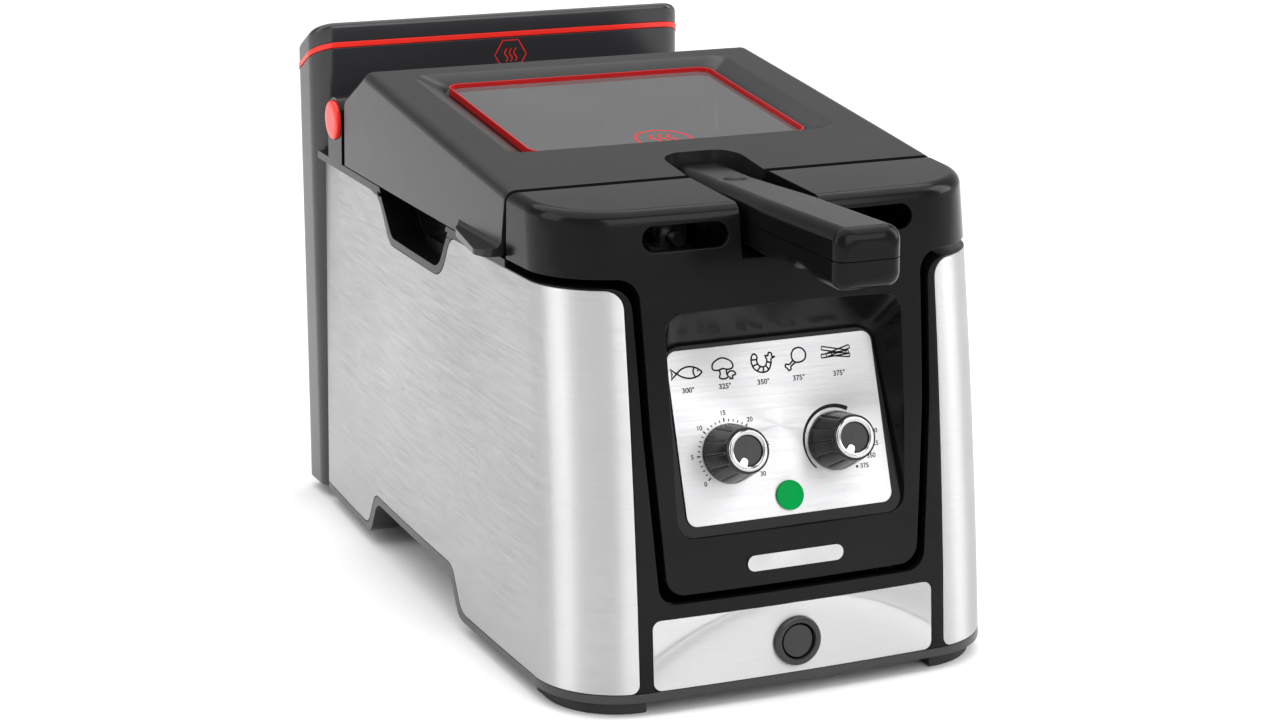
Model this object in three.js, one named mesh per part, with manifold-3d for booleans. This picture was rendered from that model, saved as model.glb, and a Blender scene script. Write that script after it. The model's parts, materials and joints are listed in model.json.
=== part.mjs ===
// Deep fryer with a lift-out control head, a hinged lid with a window, a lifting basket and an
// odour-filter tower. Millimetres, +Z up. x runs left to right, y runs from front to back, z is
// measured from the floor. Every piece is drawn in one assembly frame; the last lines move the
// origin to the middle of the footprint.
import * as THREE from 'three';
import { mergeVertices } from 'three/addons/utils/BufferGeometryUtils.js';
import Module from 'manifold-3d';

const wasm = await Module();
wasm.setup();

// ---- Driving dimensions -------------------------------------------------------------------

const GAP = 0.3;                      // clearance wherever two pieces meet
const FAR = 400;                      // reach of a cutter that runs past everything

// Body in plan, at the top edge of the steel, and how it changes with height.
const SIDE_HALF = 132;                // half width where the sides are widest
const WIDEST_Y = 102;
const SIDE_BOW = 2.33;                // how far the steel sides curve in, one bow reach away
const RIM_BOW = 0.8;                  // the same for the rim, head and lid
const BOW_REACH = 144;
const SIDE_DRAFT = 0.0191;            // the sides spread by this much per mm downwards
const CORNER_R = 46;
const FRONT_AT_FLOOR = -70.7;
const FRONT_LEAN = 0.0511;            // the front leans back: a straight and a curved share
const FRONT_LEAN_CURVE = 0.0002136;
const FRONT_BOW = 0.0002865;          // the front also bows forward in plan
const BODY_REAR = 371.8;

// Heights.
const Z_BASE = 8.2;
const Z_STEEL_LOW = 13.5;
const ARCH_RISE = 24.1;
const Z_STEEL_TOP = 231.7;
const Z_RIM = 237;
const Z_LOFT_TOP = 310;

// Openings along the side of the body, front to back.
const ARCH = { frontLow: 94, frontHigh: 110, rearHigh: 260, rearLow: 275, fillet: 13 };
const NOTCH = { frontTop: 114, frontLow: 129.7, rearLow: 226.6, rearTop: 251, z: 204.7 };
const NOTCH_ROUND = { frontTop: 13, frontLow: 21, rearLow: 16, rearTop: 21 };
const NOTCH_BORDER = 5;               // black border between the steel and the hand-hold
const HOLD_DEPTH_X = 110;             // inner face of the hand-hold
const SKIN = 1.2;                     // steel thickness
const WALL = 2.8;
const STEEL_EDGE_X = 93;              // where the steel stops on the front

// Deck and bowl.
const DECK_LOW = 225;
const DECK_TOP = 230;
const BOWL = { half: 102, front: 42, rear: 302, low: 43, corner: 24, wall: 1.6, lip: 4 };

// Control head.
const SEAM_Y = 28;
const HEAD_BACK = 20;
const HEAD_LOW = 65.1;
const HEAD_TOP_FRONT = 272.2;
const SEAM_TOP = 274.8;
const HEAD_WALL = 3;
const FRAME_GROOVE = 4.6;
const SLOT = { half: 24, floor: 243 };
const VENT = { inner: 31, outer: 80.5, low: 250, high: 264 };
const RECESS = { low: 95.3, high: 219.5, halfTop: 72, halfLow: 64.5 };

// Sloping panel: its bottom edge, its lean from the vertical and what it carries.
const PANEL = { y: -61, z: 101.3, lean: 19.1, half: 62, length: 95.4, thick: 1 };
const KNOB_X = 32;
const KNOB_V = 37;
const LENS_V = 10.6;
const LENS_R = 8.2;
const KNOB = { baseR: 16.5, topR: 12.6, height: 24.3 };

// Front strip and power switch.
const STRIP = { half: 85, low: 13.5, high: 52.8 };
const SWITCH_Z = 31.4;
const SWITCH_LEAN = 3.7;
const BEZEL_R = 14;

// Lid.
const LID_BOTTOM = 237.4;
const LID_REAR_TOP = { y: 270.7, z: 302.7 };
const HINGE = { y: 333, z: 263, r: 25.2 };
const LID_WALL = 3;
const LID_TILT = Math.atan2(LID_REAR_TOP.z - SEAM_TOP, LID_REAR_TOP.y - SEAM_Y);
const EAR = { inner: 118.2, half: 14.5 };
const BUTTON = { r: 12.2, face: 132.6, disc: 7.1, travel: 4.5 };
const PIN = { r: 3, bore: 3.3, inner: 100, outer: 122.5, springEnd: 85 };
const WINDOW = { half: 86.3, front: 72, rear: 214, depth: 7.4, glass: 1.8, trimTop: -2.6 };
const LID_NOTCH_END = 69.7;

// Basket and handle.
const BASKET = { half: 90, front: 62, rear: 282, low: 92, high: 214, wall: 2.2 };
const HANDLE = { tip: -147, root: 66, half: 19, rootHalf: 16.5, seam: 261 };
const HANDLE_BUTTON = { y: 15, r: 6 };
const TONGUE = { half: 9, front: 12, low: 253, high: 256 };
const BRACKET_THICK = 2.5;

// Filter tower.
// Its top slopes down to the rear, and the tops of the trim and the cover run alongside.
const TOWER = { half: 129, front: 372.1, rear: 419, corner: 15, floor: 250, top: 302, slope: 0.5 };
const FILTERS = { half: 112, grille: [376.2, 378.4], foam: [378.8, 386], carbon: [386.4, 404] };
const TRIM_TOP = 305.7;
const COVER_TOP = 320;

// ---- Solids -------------------------------------------------------------------------------

function toSolid(geometry) {
  const bare = geometry.clone();
  bare.deleteAttribute('normal');
  bare.deleteAttribute('uv');
  const merged = mergeVertices(bare, 1e-4);
  return new wasm.Manifold(new wasm.Mesh({
    numProp: 3,
    vertProperties: Float32Array.from(merged.attributes.position.array),
    triVerts: Uint32Array.from(merged.index.array),
  }));
}

function toGeometry(solid) {
  const mesh = solid.getMesh();
  const geometry = new THREE.BufferGeometry();
  geometry.setAttribute('position', new THREE.BufferAttribute(Float32Array.from(mesh.vertProperties), 3));
  geometry.setIndex(Array.from(mesh.triVerts));
  geometry.computeVertexNormals();
  return geometry;
}

// An outline whose corners [u, v, radius] are rounded with true arcs.
function filleted(corners, segments = 4) {
  const points = [];
  corners.forEach(([u, v, radius], i) => {
    const here = new THREE.Vector2(u, v);
    if (!radius) {
      points.push(here);
      return;
    }
    const before = corners.at(i - 1);
    const after = corners[(i + 1) % corners.length];
    const back = new THREE.Vector2(before[0], before[1]).sub(here).normalize();
    const ahead = new THREE.Vector2(after[0], after[1]).sub(here).normalize();
    const half = Math.acos(back.dot(ahead)) / 2;
    const centre = back.clone().add(ahead).setLength(radius / Math.sin(half)).add(here);
    const start = back.clone().setLength(radius / Math.tan(half)).add(here);
    const sweep = -Math.sign(back.cross(ahead)) * (Math.PI - 2 * half);
    for (let k = 0; k <= segments; k++) {
      points.push(start.clone().rotateAround(centre, (sweep * k) / segments));
    }
  });
  return new THREE.Shape(points);
}

function roundedRect(u0, u1, v0, v1, radius, segments = 4) {
  return filleted([[u0, v0, radius], [u1, v0, radius], [u1, v1, radius], [u0, v1, radius]], segments);
}

function extrude(shape, depth, steps = 1) {
  return new THREE.ExtrudeGeometry(shape, { depth, steps, bevelEnabled: false, curveSegments: 12 });
}

// Prisms along each axis, from an outline in the other two.
function prismZ(shape, z0, z1) {
  return toSolid(extrude(shape, z1 - z0).translate(0, 0, z0));
}

function prismX(shape, x0, x1) {
  const toYZ = new THREE.Matrix4().makeBasis(
    new THREE.Vector3(0, 1, 0), new THREE.Vector3(0, 0, 1), new THREE.Vector3(1, 0, 0));
  return toSolid(extrude(shape, x1 - x0).applyMatrix4(toYZ).translate(x0, 0, 0));
}

function prismY(shape, y0, y1) {
  const toXZ = new THREE.Matrix4().makeBasis(
    new THREE.Vector3(1, 0, 0), new THREE.Vector3(0, 0, 1), new THREE.Vector3(0, -1, 0));
  return toSolid(extrude(shape, y1 - y0).applyMatrix4(toXZ).translate(0, y1, 0));
}

function box(x0, x1, y0, y1, z0, z1) {
  const geometry = new THREE.BoxGeometry(x1 - x0, y1 - y0, z1 - z0);
  return toSolid(geometry.translate((x0 + x1) / 2, (y0 + y1) / 2, (z0 + z1) / 2));
}

// A turned piece about local z, from [radius, height] points, placed by a matrix.
function turned(profile, matrix = new THREE.Matrix4(), segments = 24) {
  const points = profile.map(([radius, height]) => new THREE.Vector2(radius, height));
  const geometry = new THREE.LatheGeometry(points, segments).rotateX(Math.PI / 2);
  return toSolid(geometry.applyMatrix4(matrix));
}

function rod(radius, z0, z1, matrix, segments = 20) {
  return turned([[0, z0], [radius, z0], [radius, z1], [0, z1]], matrix, segments);
}

function ring(inner, outer, z0, z1, matrix, segments = 24) {
  return turned([[inner, z0], [outer, z0], [outer, z1], [inner, z1], [inner, z0]], matrix, segments);
}

// A matrix that puts local z along +x or -x, through a point on the hinge line.
function alongX(sign, y, z) {
  return new THREE.Matrix4().makeTranslation(0, y, z)
    .multiply(new THREE.Matrix4().makeRotationY((sign * Math.PI) / 2));
}

function frameAt(y, z, lean) {
  return new THREE.Matrix4().makeTranslation(0, y, z)
    .multiply(new THREE.Matrix4().makeRotationX(Math.PI / 2 - THREE.MathUtils.degToRad(lean)));
}

function shifted(matrix, u, v, w = 0) {
  return matrix.clone().multiply(new THREE.Matrix4().makeTranslation(u, v, w));
}

// A round tube along 3-D points joined by rounded bends.
function tube(points, radius, bend, steps) {
  const path = new THREE.CurvePath();
  let from = points[0];
  for (let i = 1; i < points.length - 1; i++) {
    const inward = from.clone().sub(points[i]).setLength(bend).add(points[i]);
    const onward = points[i + 1].clone().sub(points[i]).setLength(bend).add(points[i]);
    path.add(new THREE.LineCurve3(from, inward));
    path.add(new THREE.QuadraticBezierCurve3(inward, points[i], onward));
    from = onward;
  }
  path.add(new THREE.LineCurve3(from, points.at(-1)));
  const section = new THREE.Shape().absarc(0, 0, radius, 0, Math.PI * 2);
  const options = { steps, extrudePath: path, curveSegments: 4, bevelEnabled: false };
  return new THREE.ExtrudeGeometry(section, options);
}

// ---- Body surface -------------------------------------------------------------------------

const leanAt = (z) => FRONT_LEAN * z + FRONT_LEAN_CURVE * z * z;
const frontY = (z) => FRONT_AT_FLOOR + leanAt(z);
const FRONT_TOP = frontY(Z_STEEL_TOP);
const CORNER_X = SIDE_HALF - CORNER_R - SIDE_BOW / 2;
const CORNER_Y = FRONT_TOP + FRONT_BOW * CORNER_X ** 2 + CORNER_R;

function plan(inset, bow) {
  const sideSteps = 4;
  const cornerSteps = 7;
  const frontSteps = 2;
  const right = [];
  for (let i = 0; i < sideSteps; i++) {
    const y = THREE.MathUtils.lerp(BODY_REAR, CORNER_Y, i / sideSteps);
    right.push(new THREE.Vector2(SIDE_HALF - bow * ((y - WIDEST_Y) / BOW_REACH) ** 2 - inset, y));
  }
  for (let i = 0; i <= cornerSteps; i++) {
    const angle = (Math.PI / 2) * (i / cornerSteps);
    const radius = CORNER_R - inset;
    right.push(new THREE.Vector2(CORNER_X + radius * Math.cos(angle), CORNER_Y - radius * Math.sin(angle)));
  }
  for (let i = 1; i < frontSteps; i++) {
    const x = CORNER_X * (1 - i / frontSteps);
    right.push(new THREE.Vector2(x, FRONT_TOP + FRONT_BOW * x * x + inset));
  }
  const left = right.map((p) => new THREE.Vector2(-p.x, p.y)).reverse();
  return new THREE.Shape([...right, new THREE.Vector2(0, FRONT_TOP + inset), ...left]);
}

// The whole body block, leaning and drafted, drawn in by an inset.
function bodyBlock(inset, bow = SIDE_BOW) {
  const geometry = extrude(plan(inset, bow), Z_LOFT_TOP, 5);
  const position = geometry.attributes.position;
  for (let i = 0; i < position.count; i++) {
    const y = position.getY(i);
    const z = position.getZ(i);
    const reach = (BODY_REAR - y) / (BODY_REAR - FRONT_TOP);
    position.setX(i, position.getX(i) * (1 + (SIDE_DRAFT * (Z_STEEL_TOP - z)) / SIDE_HALF));
    position.setY(i, y + (leanAt(z) - leanAt(Z_STEEL_TOP)) * reach);
  }
  return toSolid(geometry);
}

const bodyBand = (outer, inner) => bodyBlock(outer).subtract(bodyBlock(inner));

// The arched bottom line of the steel, moved down by a drop and grown by as much at each end.
function archLine(drop, shrink) {
  const low = Z_STEEL_LOW - drop;
  return [
    [ARCH.frontLow + shrink, low, ARCH.fillet],
    [ARCH.frontHigh + shrink, low + ARCH_RISE, ARCH.fillet],
    [ARCH.rearHigh - shrink, low + ARCH_RISE, ARCH.fillet],
    [ARCH.rearLow - shrink, low, ARCH.fillet],
  ];
}

// Side view of a steel skin, grown all round to make the pocket that it sits in.
function skinSide(grow) {
  const low = Z_STEEL_LOW - grow;
  const top = Z_STEEL_TOP + grow;
  const rear = BODY_REAR - GAP + grow;
  const sill = NOTCH.z + grow;
  return filleted([
    [-FAR, low, 0], ...archLine(grow, grow), [rear, low, 0], [rear, top, 0],
    [NOTCH.rearTop - grow, top, NOTCH_ROUND.rearTop], [NOTCH.rearLow - grow, sill, NOTCH_ROUND.rearLow],
    [NOTCH.frontLow + grow, sill, NOTCH_ROUND.frontLow], [NOTCH.frontTop + grow, top, NOTCH_ROUND.frontTop],
    [-FAR, top, 0],
  ]);
}

// Front view of the same skin: the part beyond its front edge, on the right.
function skinFront(grow) {
  const edge = STEEL_EDGE_X - grow;
  return filleted([[edge, Z_STEEL_LOW - grow, 5], [FAR, Z_STEEL_LOW - grow, 0],
    [FAR, Z_STEEL_TOP + grow, 0], [edge, Z_STEEL_TOP + grow, 10]], 5);
}

const mirrored = (solid) => solid.mirror([1, 0, 0]);

function skinRegion(grow) {
  return prismX(skinSide(grow), 0, FAR).intersect(prismY(skinFront(grow), -FAR, FAR + BODY_REAR));
}

// ---- Base, housing and feet ---------------------------------------------------------------

const SCREWS = [[-118, 60], [118, 60], [-112, 320], [112, 320]];
const SCREW_R = 2;
const SCREW_HEAD = { r: 4, high: 2.5 };
const TRAY_THICK = 5;

function makeBaseTray() {
  const upper = [[-FAR, Z_STEEL_LOW - GAP, 0], ...archLine(GAP, GAP), [BODY_REAR, Z_STEEL_LOW - GAP, 0]];
  const lower = [[-FAR, Z_BASE, 0], ...archLine(GAP + TRAY_THICK, TRAY_THICK - GAP), [BODY_REAR, Z_BASE, 0]];
  const band = filleted([...lower, ...upper.reverse()]);
  let tray = prismX(band, -FAR, FAR).intersect(bodyBlock(0));
  for (const [x, y] of SCREWS) {
    const at = new THREE.Matrix4().makeTranslation(x, y, 0);
    tray = tray.subtract(rod(SCREW_R + GAP, 0, 20, at, 12));
    tray = tray.subtract(rod(SCREW_HEAD.r + GAP, 0, Z_BASE + SCREW_HEAD.high + GAP, at, 16));
  }
  return tray;
}

function makeBaseScrew([x, y]) {
  const at = new THREE.Matrix4().makeTranslation(x, y, Z_BASE);
  const head = rod(SCREW_HEAD.r, 0, SCREW_HEAD.high, at, 16);
  return head.add(rod(SCREW_R, SCREW_HEAD.high - 1, 22, at, 12));
}

function headOutline(inset) {
  const shoulder = LID_BOTTOM + inset;
  const top = 290;
  return filleted([
    [-FAR, shoulder, 0], [-84.2 + inset, shoulder, 12], [-81.8 + inset, 155, 0],
    [-75.5 + inset, HEAD_LOW + inset, 11], [75.5 - inset, HEAD_LOW + inset, 11],
    [81.8 - inset, 155, 0], [84.2 - inset, shoulder, 12], [FAR, shoulder, 0], [FAR, top, 0], [-FAR, top, 0],
  ]);
}

function handHold(grow, top) {
  const rise = NOTCH.z + NOTCH_BORDER - grow;
  return filleted([
    [NOTCH.frontTop + NOTCH_BORDER - grow, top, 0],
    [NOTCH.frontLow + NOTCH_BORDER - grow, rise, NOTCH_ROUND.frontLow - NOTCH_BORDER],
    [NOTCH.rearLow - NOTCH_BORDER + grow, rise, NOTCH_ROUND.rearLow - NOTCH_BORDER],
    [NOTCH.rearTop - NOTCH_BORDER + grow, top, 0],
  ]);
}

const SWITCH = frameAt(frontY(SWITCH_Z), SWITCH_Z, SWITCH_LEAN);
const makeSwitchHole = () => rod(BEZEL_R - 1 + GAP, -15, 15, SWITCH);

function makeHousing() {
  const sides = filleted([[-FAR, Z_STEEL_LOW, 0], ...archLine(0, 0), [BODY_REAR, Z_STEEL_LOW, 0],
    [BODY_REAR, Z_STEEL_TOP, 0], [-FAR, Z_STEEL_TOP, 0]]);
  const lower = bodyBlock(0).intersect(prismX(sides, -FAR, FAR));
  const rim = bodyBlock(0, RIM_BOW).intersect(box(-FAR, FAR, -FAR, BODY_REAR, Z_STEEL_TOP - 1, Z_RIM));
  const cavity = bodyBlock(SKIN + GAP + WALL).intersect(box(-FAR, FAR, -FAR, BODY_REAR - WALL, 0, DECK_LOW));
  let housing = lower.add(rim).subtract(cavity);

  // Hand-holds: a lined pocket in each side, open to the lid line at its outer edge.
  const liner = prismX(handHold(WALL, Z_RIM), HOLD_DEPTH_X - WALL, FAR).intersect(bodyBlock(1));
  const roofed = prismX(handHold(0, Z_RIM - 3.5), HOLD_DEPTH_X, FAR);
  const mouth = prismX(handHold(0, Z_RIM + 5), HOLD_DEPTH_X, FAR).subtract(bodyBlock(7));
  const pocket = roofed.add(mouth);
  housing = housing.add(liner).add(mirrored(liner)).subtract(pocket).subtract(mirrored(pocket));

  // Bowl opening, the shelf round it, and the bay and groove for the control head.
  const bowlHole = roundedRect(-BOWL.half - 1, BOWL.half + 1, BOWL.front - 1, BOWL.rear + 1, BOWL.corner);
  const lip = BOWL.lip + 1.5;
  const shelf = roundedRect(
    -BOWL.half - lip, BOWL.half + lip, BOWL.front - lip, BOWL.rear + lip, BOWL.corner + BOWL.lip);
  const bay = prismY(headOutline(-FRAME_GROOVE), -FAR, SEAM_Y);
  housing = housing.subtract(prismZ(bowlHole, DECK_LOW - 1, Z_RIM));
  housing = housing.subtract(prismZ(shelf, DECK_TOP, Z_RIM + 1)).subtract(bay);

  // Lid ears, each with a seat for its release button and a hole for the hinge pin.
  const earShape = filleted([[HINGE.y - EAR.half, Z_RIM - 2, 0], [HINGE.y + EAR.half, Z_RIM - 2, 0],
    [HINGE.y + EAR.half, HINGE.z + EAR.half, EAR.half - 0.1],
    [HINGE.y - EAR.half, HINGE.z + EAR.half, EAR.half - 0.1]], 8);
  const ear = prismX(earShape, EAR.inner, FAR).intersect(bodyBlock(0, RIM_BOW));
  const seatFloor = BUTTON.face - BUTTON.disc - BUTTON.travel - GAP;
  const seat = rod(BUTTON.r + GAP, seatFloor, FAR, alongX(1, HINGE.y, HINGE.z), 32);
  const pinHole = rod(PIN.bore, EAR.inner - 2, FAR, alongX(1, HINGE.y, HINGE.z), 16);
  const eared = ear.subtract(seat).subtract(pinHole);
  housing = housing.add(eared).add(mirrored(eared));

  // Pockets for the steel skins and the front strip, and the hole for the power switch.
  const skinPocket = bodyBand(-20, SKIN + GAP).intersect(skinRegion(GAP));
  const stripShape = roundedRect(-STRIP.half - GAP, STRIP.half + GAP, STRIP.low - GAP, STRIP.high + GAP, 5);
  const stripPocket = bodyBand(-20, SKIN + GAP).intersect(prismY(stripShape, -FAR, 0));
  housing = housing.subtract(skinPocket).subtract(mirrored(skinPocket)).subtract(stripPocket);
  housing = housing.subtract(makeSwitchHole());

  // Screw posts standing on the tray against the side walls.
  const post = { half: 5, wallX: 140, low: Z_STEEL_LOW + 0.4, high: 44, bore: 34 };
  for (const [x, y] of SCREWS) {
    const [left, right] = [x - Math.sign(x) * post.half, Math.sign(x) * post.wallX].sort((a, b) => a - b);
    const stand = box(left, right, y - post.half, y + post.half, post.low, post.high);
    const bore = rod(SCREW_R + GAP, 0, post.bore, new THREE.Matrix4().makeTranslation(x, y, 0), 12);
    housing = housing.add(stand.intersect(bodyBlock(SKIN + GAP + 1)).subtract(bore));
  }
  return housing;
}

function makeSkin() {
  return bodyBand(0, SKIN).intersect(skinRegion(0));
}

function makeFrontStrip() {
  const shape = roundedRect(-STRIP.half, STRIP.half, STRIP.low, STRIP.high, 5);
  const strip = bodyBand(0, SKIN).intersect(prismY(shape, -FAR, 0));
  return strip.subtract(makeSwitchHole());
}

const FOOT_TOP = Z_BASE - GAP;

function makeFrontFoot() {
  const around = bodyBand(6, 24);
  return around.intersect(box(87, FAR, -FAR, -8, 0, FOOT_TOP));
}

function makeRearFoot(x) {
  return rod(11, 0, FOOT_TOP, new THREE.Matrix4().makeTranslation(x, 345, 0), 24);
}

// ---- Power switch -------------------------------------------------------------------------

function makeSwitchBezel() {
  return turned([[10, -9], [BEZEL_R - 1, -9], [BEZEL_R - 1, GAP], [BEZEL_R, GAP], [BEZEL_R, 1.6],
    [BEZEL_R - 1.2, 3], [10.6, 3], [10, 2.4], [10, -9]], SWITCH);
}

function makeSwitchRocker() {
  const tilt = new THREE.Matrix4().makeRotationY(THREE.MathUtils.degToRad(-6));
  return turned([[0, -5], [8.6, -5], [9.2, 2.6], [8.4, 3.4], [0, 3.1]], SWITCH.clone().multiply(tilt));
}

// ---- Control head -------------------------------------------------------------------------

const PANEL_FRAME = frameAt(PANEL.y, PANEL.z, PANEL.lean);

function headSide(inset) {
  const back = inset ? FAR : SEAM_Y - GAP;
  const lowBack = inset ? FAR : HEAD_BACK;
  return filleted([[-FAR, 0, 0], [lowBack, 0, 0], [lowBack, LID_BOTTOM, 0], [back, LID_BOTTOM, 0],
    [back, SEAM_TOP - inset, 0], [frontY(HEAD_TOP_FRONT), HEAD_TOP_FRONT - inset, 0],
    [-FAR, HEAD_TOP_FRONT - inset, 0]]);
}

function headBlock(inset) {
  return bodyBlock(inset, RIM_BOW).intersect(prismY(headOutline(inset), -FAR, FAR / 2))
    .intersect(prismX(headSide(inset), -FAR, FAR));
}

// The recess in front of the panel: its mouth narrows inwards, and the panel plane is its floor.
function recess(grow) {
  const low = RECESS.low - grow;
  const high = RECESS.high + grow;
  const shape = filleted([[-RECESS.halfLow - grow, low, 10], [RECESS.halfLow + grow, low, 10],
    [RECESS.halfTop + grow, high, 11], [-RECESS.halfTop - grow, high, 11]]);
  const mouthY = -51;
  const floorY = -29;
  const startY = -81;
  const endY = -17;
  const geometry = extrude(shape, endY - startY);
  const position = geometry.attributes.position;
  for (let i = 0; i < position.count; i++) {
    const y = endY - position.getZ(i);
    const depth = (y - mouthY) / (floorY - mouthY);
    const z = position.getY(i);
    position.setXYZ(i, position.getX(i) * (1 - 0.12 * depth), y,
      RECESS.low + (z - RECESS.low) * (1 - 0.2 * depth));
  }
  const aboveFloor = box(-FAR, FAR, -FAR, FAR, -PANEL.thick - GAP - grow, FAR);
  return toSolid(geometry).intersect(aboveFloor.transform(PANEL_FRAME.elements));
}

function ventShape(sign) {
  const r = (VENT.high - VENT.low) / 2;
  const [a, b] = [sign * VENT.inner, sign * VENT.outer].sort((p, q) => p - q);
  return roundedRect(a, b, VENT.low, VENT.high, r - 0.05, 6);
}

function makeControlHead() {
  const outer = headBlock(0);
  let head = outer.subtract(headBlock(HEAD_WALL));
  const slotLiner = box(-SLOT.half - WALL, SLOT.half + WALL, -FAR, FAR, SLOT.floor - WALL, FAR);
  head = head.add(slotLiner.intersect(outer)).add(recess(HEAD_WALL).intersect(outer)).subtract(recess(0));
  head = head.subtract(box(-SLOT.half, SLOT.half, -FAR, FAR, SLOT.floor, FAR));
  for (const sign of [-1, 1]) {
    head = head.subtract(prismY(ventShape(sign), -FAR, -12));
    head = head.subtract(rod(6, -12, 5, shifted(PANEL_FRAME, sign * KNOB_X, KNOB_V), 16));
  }
  return head.subtract(rod(7.9, -12, 5, shifted(PANEL_FRAME, 0, LENS_V), 20));
}

function makePanelPlate() {
  const shape = roundedRect(-PANEL.half, PANEL.half, 0, PANEL.length, 6);
  let plate = prismZ(shape, -PANEL.thick, 0).transform(PANEL_FRAME.elements);
  for (const x of [-KNOB_X, KNOB_X]) {
    plate = plate.subtract(rod(4, -5, 5, shifted(PANEL_FRAME, x, KNOB_V), 16));
  }
  return plate.subtract(rod(7.6, -5, 5, shifted(PANEL_FRAME, 0, LENS_V), 24));
}

function makeLens() {
  return turned([[0, -7], [7.3, -7], [7.3, GAP], [LENS_R, GAP], [LENS_R, 1.1], [7.4, 1.7], [0, 2]],
    shifted(PANEL_FRAME, 0, LENS_V));
}

function makeKnob(x) {
  const { baseR, topR, height } = KNOB;
  return turned([[3.6, 1], [baseR, 1], [baseR - 0.3, 3], [topR + 0.2, height - 1.4], [topR - 0.5, height],
    [11.9, height], [11.9, height - 2], [8.3, height - 2], [8.3, height - 0.4], [0, height - 0.4],
    [0, 13], [3.6, 13], [3.6, 1]], shifted(PANEL_FRAME, x, KNOB_V));
}

// The bright ring on the knob, with its pointer at about seven o'clock.
function makeKnobRing(x) {
  const top = KNOB.height;
  const at = shifted(PANEL_FRAME, x, KNOB_V);
  const band = turned([[8.6, top - 1.7], [11.6, top - 1.7], [11.6, top + 0.3], [10.4, top + 1],
    [8.9, top + 0.4], [8.6, top + 0.2], [8.6, top - 1.7]], at);
  const angle = THREE.MathUtils.degToRad(-120);
  const pip = rod(1.9, top, top + 0.6, shifted(at, 8 * Math.cos(angle), 8 * Math.sin(angle)), 12);
  return band.add(pip);
}

function makeTimerMechanism() {
  const at = shifted(PANEL_FRAME, -KNOB_X, KNOB_V);
  return ring(6.5, 18, -20, -6, at, 20).add(rod(6.6, -20, -8, at, 20)).add(rod(3.2, -9, 11, at, 16));
}

function makeThermostat() {
  const at = shifted(PANEL_FRAME, KNOB_X, KNOB_V);
  return rod(13, -18, -6, at, 20).add(rod(3.2, -7, 11, at, 16));
}

function makeBadge() {
  const at = frameAt(frontY(78), 78, 4.8);
  return prismZ(roundedRect(-29, 29, -4.5, 4.5, 4.4), GAP, 1.2).transform(at.elements);
}

// ---- Heating ------------------------------------------------------------------------------

const ELEMENT = { legX: 38, legY: 50, overZ: 244, low: 62, half: 78, rear: 284, r: 4 };

function makeElement() {
  const { legX, legY, overZ, low, half, rear, r } = ELEMENT;
  const right = [[legX, 6, overZ], [legX, legY, overZ], [legX, legY, low], [half, 72, low],
    [half, rear, low]];
  const route = [...right, ...right.map(([x, y, z]) => [-x, y, z]).reverse()];
  return toSolid(tube(route.map((p) => new THREE.Vector3(...p)), r, 14, 54));
}

// The flat block at the back of the head that clamps the element and closes the head's lower box.
function makeElementMount() {
  const lower = box(-70, 70, HEAD_BACK + GAP, HEAD_BACK + 2, 72, 222);
  const upper = box(-52, 52, HEAD_BACK - 6, HEAD_BACK + 2, 221, 239.6);
  let mount = lower.add(upper);
  for (const sign of [-1, 1]) {
    const x = sign * ELEMENT.legX;
    const clamp = box(x - 8, x + 8, HEAD_BACK - 6, HEAD_BACK + 2, 232, 252);
    mount = mount.add(clamp);
    mount = mount.subtract(toSolid(new THREE.CylinderGeometry(4.4, 4.4, 60, 16)
      .translate(x, 20, ELEMENT.overZ)));
  }
  return mount;
}

function makeProbe() {
  const { x, y, top, low } = { x: 29.5, y: 47.5, top: 241, low: 90 };
  const route = [[x, HEAD_BACK + 2.5, top], [x, y, top], [x, y, low]];
  return toSolid(tube(route.map((p) => new THREE.Vector3(...p)), 2.2, 8, 14));
}

function makeBowl() {
  const { half, front, rear, low, corner, wall, lip } = BOWL;
  const shape = (grow) => roundedRect(-half - grow, half + grow, front - grow, rear + grow, corner + grow, 6);
  const lipLow = DECK_TOP + GAP;
  const outer = prismZ(shape(0), low, lipLow + 1).add(prismZ(shape(lip), lipLow, lipLow + wall));
  return outer.subtract(prismZ(shape(-wall), low + wall, FAR));
}

// ---- Basket and handle --------------------------------------------------------------------

function makeBasket() {
  const { half, front, rear, low, high, wall } = BASKET;
  const shape = (grow) => roundedRect(-half - grow, half + grow, front - grow, rear + grow, 16 + grow, 5);
  return prismZ(shape(0), low, high).subtract(prismZ(shape(-wall), low + wall, FAR));
}

function makeBasketBracket() {
  const plateBack = BASKET.front - GAP;
  const plate = box(-12, 12, plateBack - BRACKET_THICK, plateBack, 150, 260);
  return plate.add(box(-TONGUE.half, TONGUE.half, TONGUE.front, plateBack, TONGUE.low, TONGUE.high));
}

const handlePlan = () => filleted([
  [-HANDLE.half, HANDLE.tip, 7], [HANDLE.half, HANDLE.tip, 7], [HANDLE.half, -60, 0], [HANDLE.rootHalf, 0, 0],
  [HANDLE.rootHalf, HANDLE.root, 9], [-HANDLE.rootHalf, HANDLE.root, 9], [-HANDLE.rootHalf, 0, 0],
  [-HANDLE.half, -60, 0],
]);

function makeHandleUpper() {
  const low = HANDLE.seam + GAP / 2;
  const side = filleted([[HANDLE.tip, low, 0], [HANDLE.root, low, 0], [HANDLE.root, 275, 4], [16, 272.8, 0],
    [-20, 273.4, 0], [-70, 275.8, 0], [HANDLE.tip, 277.6, 4]]);
  const upper = prismX(side, -FAR, FAR).intersect(prismZ(handlePlan(), 200, 300));
  return upper.subtract(rod(HANDLE_BUTTON.r + GAP, 268, 300, new THREE.Matrix4()
    .makeTranslation(0, HANDLE_BUTTON.y, 0), 20));
}

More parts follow.
